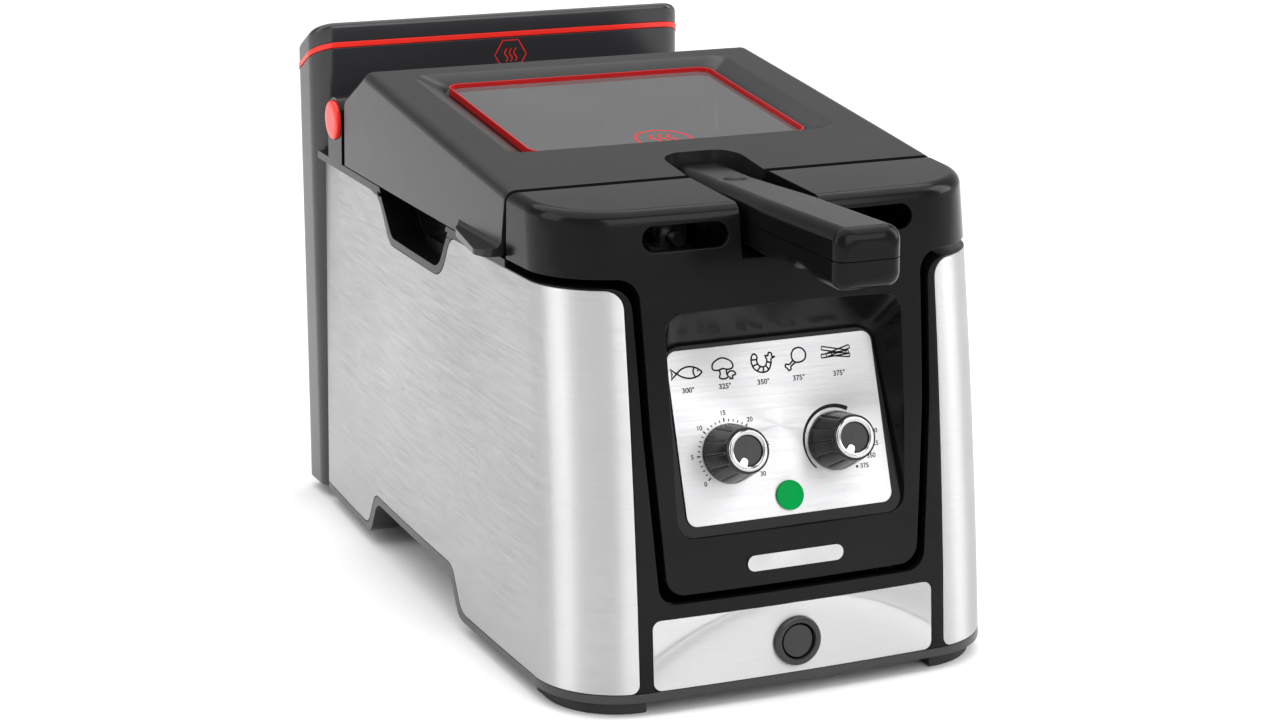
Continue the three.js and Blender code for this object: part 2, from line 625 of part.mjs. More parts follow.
function makeHandleLower() {
  const high = HANDLE.seam - GAP / 2;
  const rear = BASKET.front - GAP - BRACKET_THICK - GAP;
  const side = filleted([[HANDLE.tip + 3, 245.2, 5], [-120, 246.4, 0], [-110, 248.4, 0], [-98, 249.6, 0],
    [-86, 248.4, 0], [-74, 246, 0], [-40, 245.4, 0], [rear, 245.4, 4], [rear, high, 0],
    [HANDLE.tip, high, 0]]);
  const lower = prismX(side, -FAR, FAR).intersect(prismZ(handlePlan(), 200, 300));
  return lower.subtract(box(-TONGUE.half - GAP, TONGUE.half + GAP, TONGUE.front - GAP, FAR,
    TONGUE.low - GAP, TONGUE.high + GAP));
}

function makeHandleButton() {
  const at = new THREE.Matrix4().makeTranslation(0, HANDLE_BUTTON.y, 0);
  const { r } = HANDLE_BUTTON;
  return turned([[0, 270.6], [r, 270.6], [r, 273], [r - 1.6, 274], [0, 274.4]], at, 20);
}

// ---- Lid ----------------------------------------------------------------------------------

const LID_FRAME = new THREE.Matrix4().makeTranslation(0, SEAM_Y + 0.2, SEAM_TOP)
  .multiply(new THREE.Matrix4().makeRotationX(LID_TILT));

// A prism in the tilted frame of the lid top: along the slope, across, and above it.
const onLid = (shape, low, high) => prismZ(shape, low, high).transform(LID_FRAME.elements);

function lidSide() {
  const arc = [];
  const arcSteps = 8;
  for (let i = 0; i <= arcSteps; i++) {
    const angle = THREE.MathUtils.degToRad(THREE.MathUtils.lerp(-10.8, -90, i / arcSteps));
    arc.push([HINGE.y + HINGE.r * Math.cos(angle), HINGE.z + HINGE.r * Math.sin(angle), 0]);
  }
  return filleted([[35, LID_BOTTOM, 0], [SEAM_Y + 0.5, SEAM_TOP, 1.5],
    [LID_REAR_TOP.y, LID_REAR_TOP.z, 5], ...arc, [HINGE.y, LID_BOTTOM, 0]].reverse());
}

function lidCavity() {
  return filleted([[38, 0, 0], [SEAM_Y + 3.7, SEAM_TOP - 3.3, 0], [LID_REAR_TOP.y, LID_REAR_TOP.z - 3.4, 0],
    [HINGE.y - 12, 271, 0], [HINGE.y - 12, 0, 0]]);
}

const windowShape = (grow, radius = 8) => roundedRect(-WINDOW.half - grow, WINDOW.half + grow,
  WINDOW.front - grow, WINDOW.rear + grow, radius);

// The sloping well above the window: wide at the lid top, down to the window's trim.
function windowWell() {
  const mouth = { side: 15, rear: 12, front: 5 };
  const geometry = extrude(windowShape(3, 9), WINDOW.depth + 1);
  const position = geometry.attributes.position;
  const middle = (WINDOW.front + WINDOW.rear) / 2;
  for (let i = 0; i < position.count; i++) {
    const up = position.getZ(i) > 0 ? 1.1 : 0;
    const lengthwise = position.getY(i) > middle ? mouth.rear : -mouth.front;
    position.setXYZ(i, position.getX(i) + Math.sign(position.getX(i)) * mouth.side * up,
      position.getY(i) + lengthwise * up, position.getZ(i) - WINDOW.depth);
  }
  return toSolid(geometry).transform(LID_FRAME.elements);
}

function notchShape(grow) {
  const half = SLOT.half - 0.4 + grow;
  const end = LID_NOTCH_END + grow;
  return filleted([[-half, -20, 0], [half, -20, 0], [half, end, 15 + grow], [-half, end, 15 + grow]], 5);
}

// The lip that the fingers lift: its top falls away outwards from a ridge along the lid's side.
function liftTab() {
  const shape = filleted([[120, 33, 0], [140.5, 33, 5], [144.5, 44, 9], [137, 92, 12], [131, 101, 3],
    [120, 101, 0]]);
  const ridge = { x: 131.5, top: 245 };
  const section = filleted([[120, LID_BOTTOM, 0], [146, LID_BOTTOM, 0], [146, 240.8, 0],
    [ridge.x + 2, 243, 0], [ridge.x, ridge.top, 0], [120, ridge.top, 0]]);
  return prismZ(shape, LID_BOTTOM, ridge.top).intersect(prismY(section, 30, 104));
}

function makeLidShell() {
  const outer = bodyBlock(0, RIM_BOW).intersect(prismX(lidSide(), -FAR, FAR));
  const cavity = bodyBlock(LID_WALL, RIM_BOW).intersect(prismX(lidCavity(), -FAR, FAR));
  const well = onLid(roundedRect(-106, 106, WINDOW.front - 10, WINDOW.rear + 17, 8), -WINDOW.depth - 3, -1);
  let lid = outer.subtract(cavity).add(well.intersect(outer));
  lid = lid.add(liftTab().subtract(cavity)).add(mirrored(liftTab()).subtract(cavity));

  // Handle notch in the front, with a lining down its sides.
  const lining = prismZ(notchShape(LID_WALL - 0.4), 253, FAR).intersect(outer);
  lid = lid.add(lining).subtract(prismZ(notchShape(0), 0, FAR));
  lid = lid.subtract(windowWell()).subtract(onLid(windowShape(-3.2), -20, 5));

  // Room for the ears, bores for the hinge pins, and the steam way to the tower.
  for (const sign of [-1, 1]) {
    const room = box(EAR.inner - GAP, FAR, HINGE.y - EAR.half - 6, FAR, 0, FAR);
    lid = lid.subtract(sign > 0 ? room : mirrored(room));
    const axis = alongX(sign, HINGE.y, HINGE.z);
    lid = lid.subtract(rod(PIN.bore, PIN.springEnd - 1, FAR, axis, 16));
  }
  const elementGap = box(ELEMENT.legX - 12, ELEMENT.legX + 8, 0, 45, 0, ELEMENT.overZ + 7);
  lid = lid.subtract(elementGap).subtract(mirrored(elementGap));
  return lid.subtract(box(-50, 50, HINGE.y - 20, FAR, 245, 259));
}

function makeWindowGlass() {
  const seat = -WINDOW.depth + GAP;
  return onLid(windowShape(-0.2, 7), seat, seat + WINDOW.glass);
}

function makeWindowTrim() {
  const outer = onLid(windowShape(1.5, 8.6), -WINDOW.depth + GAP, WINDOW.trimTop);
  return outer.subtract(onLid(windowShape(0.1, 7.3), -20, 5));
}

function makeLidLiner() {
  const outer = onLid(roundedRect(-118, 118, 10, 236, 14), -15.2, -14);
  const opening = onLid(windowShape(-6), -20, 0);
  return outer.subtract(opening).subtract(prismZ(notchShape(5), 0, FAR));
}

function makeLidSeal() {
  const band = bodyBlock(LID_WALL + 0.4, RIM_BOW).subtract(bodyBlock(8, RIM_BOW));
  const sides = band.intersect(box(-FAR, FAR, 40, 300, LID_BOTTOM, LID_BOTTOM + 4.5));
  const rear = box(-124, 124, 295, 300, LID_BOTTOM, LID_BOTTOM + 4.5);
  return sides.add(rear);
}

function makeReleaseButton() {
  const axis = alongX(1, HINGE.y, HINGE.z);
  const { face, r, disc } = BUTTON;
  const stub = { r: 2.9, length: 2.7 };
  return turned([[0, face - disc - stub.length], [stub.r, face - disc - stub.length], [stub.r, face - disc],
    [r, face - disc], [r, face - 1.2], [r - 1.4, face - 0.3], [0, face]], axis);
}

function makeHingePin() {
  return rod(PIN.r, PIN.inner, PIN.outer, alongX(1, HINGE.y, HINGE.z), 16);
}

function makePinSpring() {
  return ring(1.8, 2.9, PIN.springEnd, PIN.inner - BUTTON.travel - GAP, alongX(1, HINGE.y, HINGE.z), 16);
}

// ---- Filter tower -------------------------------------------------------------------------

const towerShape = (inset) => roundedRect(-TOWER.half + inset, TOWER.half - inset,
  TOWER.front + inset, TOWER.rear - inset, TOWER.corner - inset, 6);

// Slides each point of a solid down in proportion to its distance behind the tower's front.
function sloped(solid) {
  const drop = new THREE.Matrix4().makeTranslation(0, 0, TOWER.front * TOWER.slope)
    .multiply(new THREE.Matrix4().makeShear(0, 0, 0, -TOWER.slope, 0, 0));
  return solid.transform(drop.elements);
}

const INLET = { x: -88, z: 48, r: 9 };
const toRear = (x, z) => new THREE.Matrix4().makeTranslation(x, TOWER.rear, z)
  .multiply(new THREE.Matrix4().makeRotationX(-Math.PI / 2));

function makeTower() {
  let tower = prismZ(towerShape(0), Z_BASE, TOWER.top);
  tower = tower.subtract(sloped(prismZ(towerShape(-1), TOWER.top, FAR)));
  tower = tower.subtract(prismZ(towerShape(3.5), 0, TOWER.floor));
  tower = tower.subtract(prismZ(towerShape(3.5), TOWER.floor + 3, FAR));
  tower = tower.subtract(box(-50, 50, TOWER.front - 5, TOWER.front + 6, 256, 270));
  const exhaustSlots = 12;
  for (let i = 0; i < exhaustSlots; i++) {
    const x = (i - (exhaustSlots - 1) / 2) * 11;
    tower = tower.subtract(box(x - 1.8, x + 1.8, TOWER.rear - 6, TOWER.rear + 5, 256, 273));
  }
  return tower.subtract(rod(INLET.r + GAP, -10, 5, toRear(INLET.x, INLET.z), 24));
}

function makeInletGland() {
  return turned([[4, -8], [INLET.r + 2, -8], [INLET.r + 2, -3.5 - GAP], [INLET.r, -3.5 - GAP],
    [INLET.r, 0], [4, 0], [4, -8]], toRear(INLET.x, INLET.z), 24);
}

function makeTrimRing() {
  const outer = sloped(prismZ(towerShape(-0.5), TOWER.top + GAP, TRIM_TOP));
  return outer.subtract(prismZ(towerShape(3.5), 0, FAR));
}

function makeFilterCover() {
  const outer = prismZ(towerShape(0), TRIM_TOP + GAP, COVER_TOP);
  return sloped(outer.subtract(prismZ(towerShape(3), 0, COVER_TOP - 3)));
}

function makeFilterBlock([front, rear], half = FILTERS.half) {
  const top = TOWER.top - TOWER.slope * (rear - TOWER.front) - 1.5;
  return box(-half, half, front, rear, TOWER.floor + 3 + GAP, top);
}

function makeFilterGrille() {
  let grille = makeFilterBlock(FILTERS.grille, FILTERS.half + 4);
  const bars = 14;
  for (let i = 0; i < bars; i++) {
    const x = (i - (bars - 1) / 2) * 7;
    grille = grille.subtract(box(x - 1.7, x + 1.7, 370, 380, 257, 269));
  }
  return grille;
}

// ---- Electrical pieces inside -------------------------------------------------------------

function makeTerminalBlock() {
  return box(-22, 22, -18, 8, 176, 200);
}

function makeMicroswitch() {
  const back = HEAD_BACK + 6;
  return box(-10, 10, back, back + 8, 72, 92);
}

// ---- Assembly -----------------------------------------------------------------------------

const PAINT = {
  black: { color: 0x1c1c1e, roughness: 0.42, metalness: 0 },
  steel: { color: 0xc9c9c8, roughness: 0.32, metalness: 1 },
  bright: { color: 0xd8d8d6, roughness: 0.18, metalness: 1 },
  red: { color: 0xdf2a20, roughness: 0.4, metalness: 0 },
  glass: { color: 0x6c6f70, roughness: 0.08, metalness: 0 },
  green: { color: 0x00a651, roughness: 0.3, metalness: 0 },
  rubber: { color: 0x151515, roughness: 0.8, metalness: 0 },
  seal: { color: 0x3a3a3a, roughness: 0.7, metalness: 0 },
  foam: { color: 0x4a4a48, roughness: 0.95, metalness: 0 },
};

const fryer = new THREE.Group();
fryer.name = 'deep_fryer';
const assembly = new THREE.Group();
assembly.position.y = -(HANDLE.tip + TOWER.rear + 0.5) / 2;
fryer.add(assembly);

function add(name, paint, solid) {
  const mesh = new THREE.Mesh(toGeometry(solid), new THREE.MeshStandardMaterial(PAINT[paint]));
  mesh.name = name;
  assembly.add(mesh);
}

function addPair(name, paint, rightSolid) {
  add(`${name}_right`, paint, rightSolid);
  add(`${name}_left`, paint, mirrored(rightSolid));
}

add('base_tray', 'black', makeBaseTray());
add('body_housing', 'black', makeHousing());
addPair('side_panel', 'steel', makeSkin());
add('front_strip', 'steel', makeFrontStrip());
addPair('front_foot', 'rubber', makeFrontFoot());
addPair('rear_foot', 'rubber', makeRearFoot(95));
SCREWS.forEach((place, i) => add(`base_screw_${i + 1}`, 'bright', makeBaseScrew(place)));
add('power_switch_bezel', 'black', makeSwitchBezel());
add('power_switch_rocker', 'black', makeSwitchRocker());

add('control_head', 'black', makeControlHead());
add('control_panel_plate', 'steel', makePanelPlate());
add('ready_light_lens', 'green', makeLens());
add('timer_knob', 'black', makeKnob(-KNOB_X));
add('timer_knob_ring', 'bright', makeKnobRing(-KNOB_X));
add('thermostat_knob', 'black', makeKnob(KNOB_X));
add('thermostat_knob_ring', 'bright', makeKnobRing(KNOB_X));
add('timer_mechanism', 'bright', makeTimerMechanism());
add('thermostat_body', 'bright', makeThermostat());
add('terminal_block', 'seal', makeTerminalBlock());
add('head_microswitch', 'seal', makeMicroswitch());
add('front_badge', 'bright', makeBadge());

add('heating_element', 'bright', makeElement());
add('element_mount', 'steel', makeElementMount());
add('thermostat_probe', 'bright', makeProbe());
add('oil_bowl', 'steel', makeBowl());

add('basket', 'bright', makeBasket());
add('basket_bracket', 'bright', makeBasketBracket());
add('handle_upper', 'black', makeHandleUpper());
add('handle_lower', 'black', makeHandleLower());
add('handle_release_button', 'black', makeHandleButton());

add('lid_shell', 'black', makeLidShell());
add('window_glass', 'glass', makeWindowGlass());
add('window_trim', 'red', makeWindowTrim());
add('lid_liner', 'steel', makeLidLiner());
add('lid_seal', 'seal', makeLidSeal());
addPair('lid_release_button', 'red', makeReleaseButton());
addPair('lid_hinge_pin', 'bright', makeHingePin());
addPair('lid_pin_spring', 'bright', makePinSpring());

add('rear_tower', 'black', makeTower());
add('tower_trim_ring', 'red', makeTrimRing());
add('filter_cover', 'black', makeFilterCover());
add('filter_grille', 'black', makeFilterGrille());
add('foam_filter', 'foam', makeFilterBlock(FILTERS.foam));
add('carbon_filter', 'foam', makeFilterBlock(FILTERS.carbon));
add('cord_inlet_gland', 'rubber', makeInletGland());

export default fryer;
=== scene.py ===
"""A household deep fryer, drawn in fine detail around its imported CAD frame.

Shapes are built in millimetres in the fryer's own assembly frame (x left to right, y front to back, z up from
the floor) and moved to the frame's metres when they become pieces.
"""

import json
import math

import bmesh
import bpy
from mathutils import Matrix, Vector
from mathutils.kdtree import KDTree


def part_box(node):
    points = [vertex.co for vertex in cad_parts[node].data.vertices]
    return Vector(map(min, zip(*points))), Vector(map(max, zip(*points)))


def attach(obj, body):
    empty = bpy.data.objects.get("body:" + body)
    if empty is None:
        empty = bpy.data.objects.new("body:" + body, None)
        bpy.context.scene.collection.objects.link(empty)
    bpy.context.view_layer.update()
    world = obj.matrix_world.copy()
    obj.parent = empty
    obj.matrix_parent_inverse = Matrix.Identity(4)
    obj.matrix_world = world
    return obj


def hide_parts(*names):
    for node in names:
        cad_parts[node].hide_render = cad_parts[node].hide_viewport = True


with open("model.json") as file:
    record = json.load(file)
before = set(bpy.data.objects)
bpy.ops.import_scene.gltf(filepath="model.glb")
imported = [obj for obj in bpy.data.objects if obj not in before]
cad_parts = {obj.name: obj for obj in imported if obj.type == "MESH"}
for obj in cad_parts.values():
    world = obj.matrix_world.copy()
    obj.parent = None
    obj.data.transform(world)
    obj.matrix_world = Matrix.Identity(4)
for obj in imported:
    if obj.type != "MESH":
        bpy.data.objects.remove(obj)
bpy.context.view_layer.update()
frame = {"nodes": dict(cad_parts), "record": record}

# ---- Driving dimensions, in millimetres ------------------------------------------------------

# Clearances between neighbours, and a distance beyond every face, for the cutting tools.
GAP = 0.3
SEAM_GAP = 1.2
FAR = 400

# The body seen from above, how its front leans back and how its sides spread downwards.
SIDE_HALF = 132
WIDEST_Y = 102
STEEL_BOW = 2.33
RIM_BOW = 0.8
BOW_REACH = 144
SIDE_DRAFT = 0.0191
CORNER_R = 46
FRONT_AT_FLOOR = -70.7
FRONT_LEAN = 0.0511
FRONT_CURVE = 0.0002136
FRONT_BOW = 0.0002865
BODY_REAR = 371.8

# Heights of the body, and the thickness of its sheets.
Z_BASE = 8.2
Z_STEEL_LOW = 13.5
ARCH_RISE = 24.1
Z_STEEL_TOP = 231.7
Z_RIM = 237
Z_TOP = 310
SKIN = 1.2
WALL = 2.8

# The body seen from the side: the arch below it, the notch for the hand, and what is inside.
ARCH = dict(front_low=94, front_high=110, rear_high=260, rear_low=275, fillet=13)
NOTCH = dict(front_top=114, front_low=129.7, rear_low=226.6, rear_top=251, z=204.7, border=5)
NOTCH_ROUND = dict(front_top=13, front_low=21, rear_low=16, rear_top=21)
HOLD_X = 110
STEEL_EDGE_X = 93
DECK = (225, 230)
BOWL = dict(half=102, front=42, rear=302, low=43, corner=24, wall=1.6, lip=4)

# The control head with its panel, and the strip and switch below it.
SEAM_Y = 28
HEAD_BACK = 20
HEAD_LOW = 65.1
HEAD_TOP_FRONT = 272.2
SEAM_TOP = 274.8
SLOT = dict(half=24, floor=243)
VENT = dict(inner=31, outer=80.5, low=250, high=264)
RECESS = dict(low=95.3, high=219.5, half_top=72, half_low=64.5)
PANEL = dict(y=-61, z=101.3, lean=19.1, half=62, length=95.4, thick=1)
KNOB_X = 32
KNOB_V = 37
KNOB_HEIGHT = 24.3
LENS_V = 10.6
STRIP = dict(half=85, low=13.5, high=52.8)
SWITCH_Z = 31.4
SWITCH_LEAN = 3.7
BEZEL_R = 14

# The lid with its hinge and window. Edges above TOP_EDGES_Z, here and on the head, are well rounded.
LID_BOTTOM = 237.4
LID_REAR = (270.7, 302.7)
HINGE = dict(y=333, z=263, r=25.2)
EAR = dict(inner=118.2, half=14.5)
BUTTON = dict(r=12.2, face=132.6, travel=4.5, thick=7.1)
PIN_BORE = 3.3
WINDOW = dict(half=86.3, front=72, rear=214, depth=7.4, glass=1.8, trim_top=-2.6)
NOTCH_END = 69.7
TOP_ROUND = 6
TOP_EDGES_Z = 262
LID_TILT = math.atan2(LID_REAR[1] - SEAM_TOP, LID_REAR[0] - SEAM_Y)

# The basket with its handle, the filter tower, the heating element and the base's screws.
BASKET = dict(half=90, front=62, rear=282, low=92, high=214)
TONGUE = dict(half=9, front=12, low=253, high=256)
HANDLE = dict(tip=-147, root=66, half=19, root_half=16.5, seam=261)
HANDLE_BUTTON = dict(r=6, y=15)
TOWER = dict(half=129, front=372.1, rear=419, corner=15, floor=250, top=302, slope=0.5)
TOWER_WALL = 3.5
TRIM_TOP = 305.7
COVER_TOP = 320
ELEMENT = dict(leg_x=38, leg_y=50, over=244, low=62, half=78, rear=284, r=3.85)
SCREWS = ((-118, 60), (118, 60), (-112, 320), (112, 320))

# Angles in degrees, and the largest reach of a bevel as a multiple of its width.
ARC_STEP = 7.5
FLAT_ANGLE = 0.2
FACET_ANGLE = 0.3
SLIVER_ANGLE = 14
SHARP_ANGLE = 32
SMOOTH_ANGLE = 38
BEVEL_REACH = 4

MM = 0.001
ORIGIN_Y = TOWER["rear"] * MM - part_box("rear_tower")[1].y
TO_FRAME = Matrix.Translation((0, -ORIGIN_Y, 0)) @ Matrix.Scale(MM, 4)

RECORD = frame["record"]
BODY_OF = {node: body for body, nodes in RECORD["behaviour"]["bodies"].items() for node in nodes}


# ---- Solids ------------------------------------------------------------------------------------

def placed(name, data):
    """A new object that holds data, put in the scene."""
    made = bpy.data.objects.new(name, data)
    bpy.context.scene.collection.objects.link(made)
    return made


def solid(vertices, faces):
    """A closed mesh object with its faces turned outwards."""
    mesh = bpy.data.meshes.new("solid")
    mesh.from_pydata([tuple(v) for v in vertices], [], faces)
    shape = bmesh.new()
    shape.from_mesh(mesh)
    bmesh.ops.recalc_face_normals(shape, faces=shape.faces)
    shape.to_mesh(mesh)
    shape.free()
    return placed("solid", mesh)


def discard(thing):
    mesh = thing.data
    bpy.data.objects.remove(thing)
    bpy.data.meshes.remove(mesh)


def evaluated_mesh(thing):
    """A new mesh of thing as its modifiers leave it."""
    graph = bpy.context.evaluated_depsgraph_get()
    return bpy.data.meshes.new_from_object(thing.evaluated_get(graph))


def apply_modifiers(thing):
    mesh = evaluated_mesh(thing)
    thing.modifiers.clear()
    old = thing.data
    thing.data = mesh
    bpy.data.meshes.remove(old)


def combine(first, second, operation):
    """Joins or cuts first with second, which is used up."""
    modifier = first.modifiers.new("combine", "BOOLEAN")
    modifier.solver = "MANIFOLD"
    modifier.operation = operation
    modifier.object = second
    apply_modifiers(first)
    discard(second)
    return first


def cut(first, *others):
    for other in others:
        combine(first, other, "DIFFERENCE")
    return first


def join(first, *others):
    for other in others:
        combine(first, other, "UNION")
    return first


def keep(first, *others):
    for other in others:
        combine(first, other, "INTERSECT")
    return first


def moved(thing, matrix):
    thing.data.transform(matrix)
    if matrix.determinant() < 0:
        thing.data.flip_normals()
    return thing


def copied(thing):
    return placed("solid", thing.data.copy())


def twin(thing):
    """A copy of a solid, mirrored left to right."""
    return moved(copied(thing), Matrix.Diagonal((-1, 1, 1, 1)))


def both_sides(thing):
    """A right-hand solid and its mirrored twin."""
    return twin(thing), thing


def quarter(steps):
    """Angles that divide a quarter turn into equal steps."""
    return [math.pi / 2 * k / steps for k in range(steps + 1)]


def full_turn(steps):
    return [2 * math.pi * k / steps for k in range(steps)]


def filleted(corners):
    """An outline whose corners (u, v, radius) are rounded with true arcs."""
    points = []
    for i, (u, v, radius) in enumerate(corners):
        here = Vector((u, v))
        if not radius:
            points.append(here)
            continue
        back = (Vector(corners[i - 1][:2]) - here).normalized()
        ahead = (Vector(corners[(i + 1) % len(corners)][:2]) - here).normalized()
        half = back.angle(ahead) / 2
        centre = here + (back + ahead).normalized() * (radius / math.sin(half))
        start = here + back * (radius / math.tan(half)) - centre
        sweep = -math.copysign(math.pi - 2 * half, back.cross(ahead))
        steps = max(2, round(math.degrees(abs(sweep)) / ARC_STEP))
        for k in range(steps + 1):
            points.append(centre + Matrix.Rotation(sweep * k / steps, 2) @ start)
    return points


def rounded(u0, u1, v0, v1, radius):
    return filleted([(u0, v0, radius), (u1, v0, radius), (u1, v1, radius), (u0, v1, radius)])


def with_midpoints(corners):
    """A closed outline with a point added halfway along each side."""
    return [p for a, b in zip(corners, corners[1:] + corners[:1]) for p in (a, a.lerp(b, 0.5))]


def level_ring(outline, z):
    return [(p.x, p.y, z) for p in outline]


def loft(rings, closed=False):
    """A solid through rings of equal point counts, capped at both ends or closed on itself."""
    count = len(rings[0])
    vertices = [p for ring in rings for p in ring]
    faces = []
    spans = len(rings) if closed else len(rings) - 1
    for i in range(spans):
        low, high = i * count, ((i + 1) % len(rings)) * count
        for k in range(count):
            following = (k + 1) % count
            faces.append((low + k, low + following, high + following, high + k))
    if not closed:
        faces.append(tuple(reversed(range(count))))
        faces.append(tuple(range((len(rings) - 1) * count, len(rings) * count)))
    return solid(vertices, faces)


PLACE = {"X": lambda u, v, w: (w, u, v), "Y": lambda u, v, w: (u, w, v), "Z": lambda u, v, w: (u, v, w)}


def prism(axis, outline, low, high):
    place = PLACE[axis]
    return loft([[place(p[0], p[1], w) for p in outline] for w in (low, high)])


def box(x0, x1, y0, y1, z0, z1):
    return prism("Z", [(x0, y0), (x1, y0), (x1, y1), (x0, y1)], z0, z1)


def turned(profile, place=Matrix(), segments=72):
    """A solid of revolution about local z from (radius, height) points: open ends lie on the axis."""
    closed = profile[0] == profile[-1]
    points = profile[:-1] if closed else [p for p in profile if p[0] > 0]
    rings = []
    for radius, height in points:
        rings.append([place @ Vector((radius * math.cos(a), radius * math.sin(a), height))
                      for a in full_turn(segments)])
    return loft(rings, closed)


def rod(radius, z0, z1, place=Matrix(), segments=48):
    return turned([(radius, z0), (radius, z1), (0, z1)], place, segments)


def swept(points, radius, segments=10, closed=False):
    """A round bar along points, its section carried along without twist."""
    count = len(points)
    points = [Vector(p) for p in points]
    tangents = []
    for i in range(count):
        before = points[i - 1] if closed or i else points[0]
        after = points[(i + 1) % count] if closed or i < count - 1 else points[-1]
        tangents.append((after - before).normalized())
    side = tangents[0].orthogonal().normalized()
    rings = []
    for point, tangent in zip(points, tangents):
        side = (side - tangent * side.dot(tangent)).normalized()
        other = tangent.cross(side)
        rings.append([point + (side * math.cos(a) + other * math.sin(a)) * radius
                      for a in full_turn(segments)])
    return loft(rings, closed)


def bent(points, bend, steps):
    """A polyline with its corners rounded."""
    points = [Vector(p) for p in points]
    route = [points[0]]
    for before, here, after in zip(points, points[1:], points[2:]):
        start = here + (before - here).normalized() * bend
        end = here + (after - here).normalized() * bend
        for k in range(steps + 1):
            t = k / steps
            route.append(start.lerp(here, t).lerp(here.lerp(end, t), t))
    return route + [points[-1]]


def smooth(points, closed=False, steps=6):
    """A Catmull-Rom curve through points."""
    points = [Vector(p) for p in points]
    count = len(points)
    route = []
    for i in range(count if closed else count - 1):
        if closed:
            a, b, c, d = (points[(i + k) % count] for k in (-1, 0, 1, 2))
        else:
            a, b, c, d = (points[min(max(i + k, 0), count - 1)] for k in (-1, 0, 1, 2))
        for k in range(steps):
            t = k / steps
            route.append(0.5 * (2 * b + (c - a) * t + (2 * a - 5 * b + 4 * c - d) * t ** 2
                                + (3 * b - 3 * c + d - a) * t ** 3))
    if not closed:
        route.append(points[-1])
    return route


def gathered(parts):
    """Several meshes as one object, without joining their surfaces."""
    shape = bmesh.new()
    for part in parts:
        shape.from_mesh(part.data)
        discard(part)
    mesh = bpy.data.meshes.new("gathered")
    shape.to_mesh(mesh)
    shape.free()
    return placed("gathered", mesh)


def dissolve_flat(shape):
    """Dissolves the edges and points inside flat faces."""
    bmesh.ops.dissolve_limit(shape, angle_limit=math.radians(FLAT_ANGLE), verts=shape.verts,
                             edges=shape.edges)
    shape.normal_update()


def round_edges(thing, radius, wanted, segments=6):
    """Rounds the edges for which wanted(edge, face, other face) is true."""
    shape = bmesh.new()
    shape.from_mesh(thing.data)
    dissolve_flat(shape)
    edges = [e for e in shape.edges if len(e.link_faces) == 2 and wanted(e, *e.link_faces)]
    bmesh.ops.bevel(shape, geom=edges, offset=radius, segments=segments, affect="EDGES", profile=0.5,
                    clamp_overlap=False)
    shape.to_mesh(thing.data)
    shape.free()
    return thing


def frame_at(y, z, lean):
    """The plane of a sloping face: local x across, local y up the slope, local z outwards."""
    return Matrix.Translation((0, y, z)) @ Matrix.Rotation(math.pi / 2 - math.radians(lean), 4, "X")


def along_x(y, z):
    """The axis of a part that points to the right."""
    return Matrix.Translation((0, y, z)) @ Matrix.Rotation(math.pi / 2, 4, "Y")


def at(x, y, z=0):
    return Matrix.Translation((x, y, z))


# ---- Body surface ------------------------------------------------------------------------------

def lean_at(z):
    return FRONT_LEAN * z + FRONT_CURVE * z * z


def front_y(z):
    return FRONT_AT_FLOOR + lean_at(z)


FRONT_TOP = front_y(Z_STEEL_TOP)
CORNER_X = SIDE_HALF - CORNER_R - STEEL_BOW / 2
CORNER_Y = FRONT_TOP + FRONT_BOW * CORNER_X ** 2 + CORNER_R


def plan(inset, bow, side_steps=14, corner_steps=24, front_steps=8):
    """Half of the body's outline seen from above, from the rear corner to the middle of the front."""
    right = []
    for i in range(side_steps):
        y = BODY_REAR + (CORNER_Y - BODY_REAR) * i / side_steps
        right.append((SIDE_HALF - bow * ((y - WIDEST_Y) / BOW_REACH) ** 2 - inset, y))
    radius = CORNER_R - inset
    for angle in quarter(corner_steps):
        right.append((CORNER_X + radius * math.cos(angle), CORNER_Y - radius * math.sin(angle)))
    for i in range(1, front_steps):
        x = CORNER_X * (1 - i / front_steps)
        right.append((x, FRONT_TOP + FRONT_BOW * x * x + inset))
    return right + [(0, FRONT_TOP + inset)] + [(-x, y) for x, y in reversed(right)]


def block(inset=0, bow=STEEL_BOW, levels=20):
    """The whole body block: it leans back at the front and spreads downwards."""
    rings = []
    for i in range(levels + 1):
        z = Z_TOP * i / levels
        spread = 1 + SIDE_DRAFT * (Z_STEEL_TOP - z) / SIDE_HALF
        lean = lean_at(z) - lean_at(Z_STEEL_TOP)
        rings.append([(x * spread, y + lean * (BODY_REAR - y) / (BODY_REAR - FRONT_TOP), z)
                      for x, y in plan(inset, bow)])
    return loft(rings)


def band(outer, inner, bow=STEEL_BOW):
    return cut(block(outer, bow), block(inner, bow))


def arch_line(drop, shrink):
    low = Z_STEEL_LOW - drop
    high = low + ARCH_RISE
    r = ARCH["fillet"]
    return [(ARCH["front_low"] + shrink, low, r), (ARCH["front_high"] + shrink, high, r),
            (ARCH["rear_high"] - shrink, high, r), (ARCH["rear_low"] - shrink, low, r)]


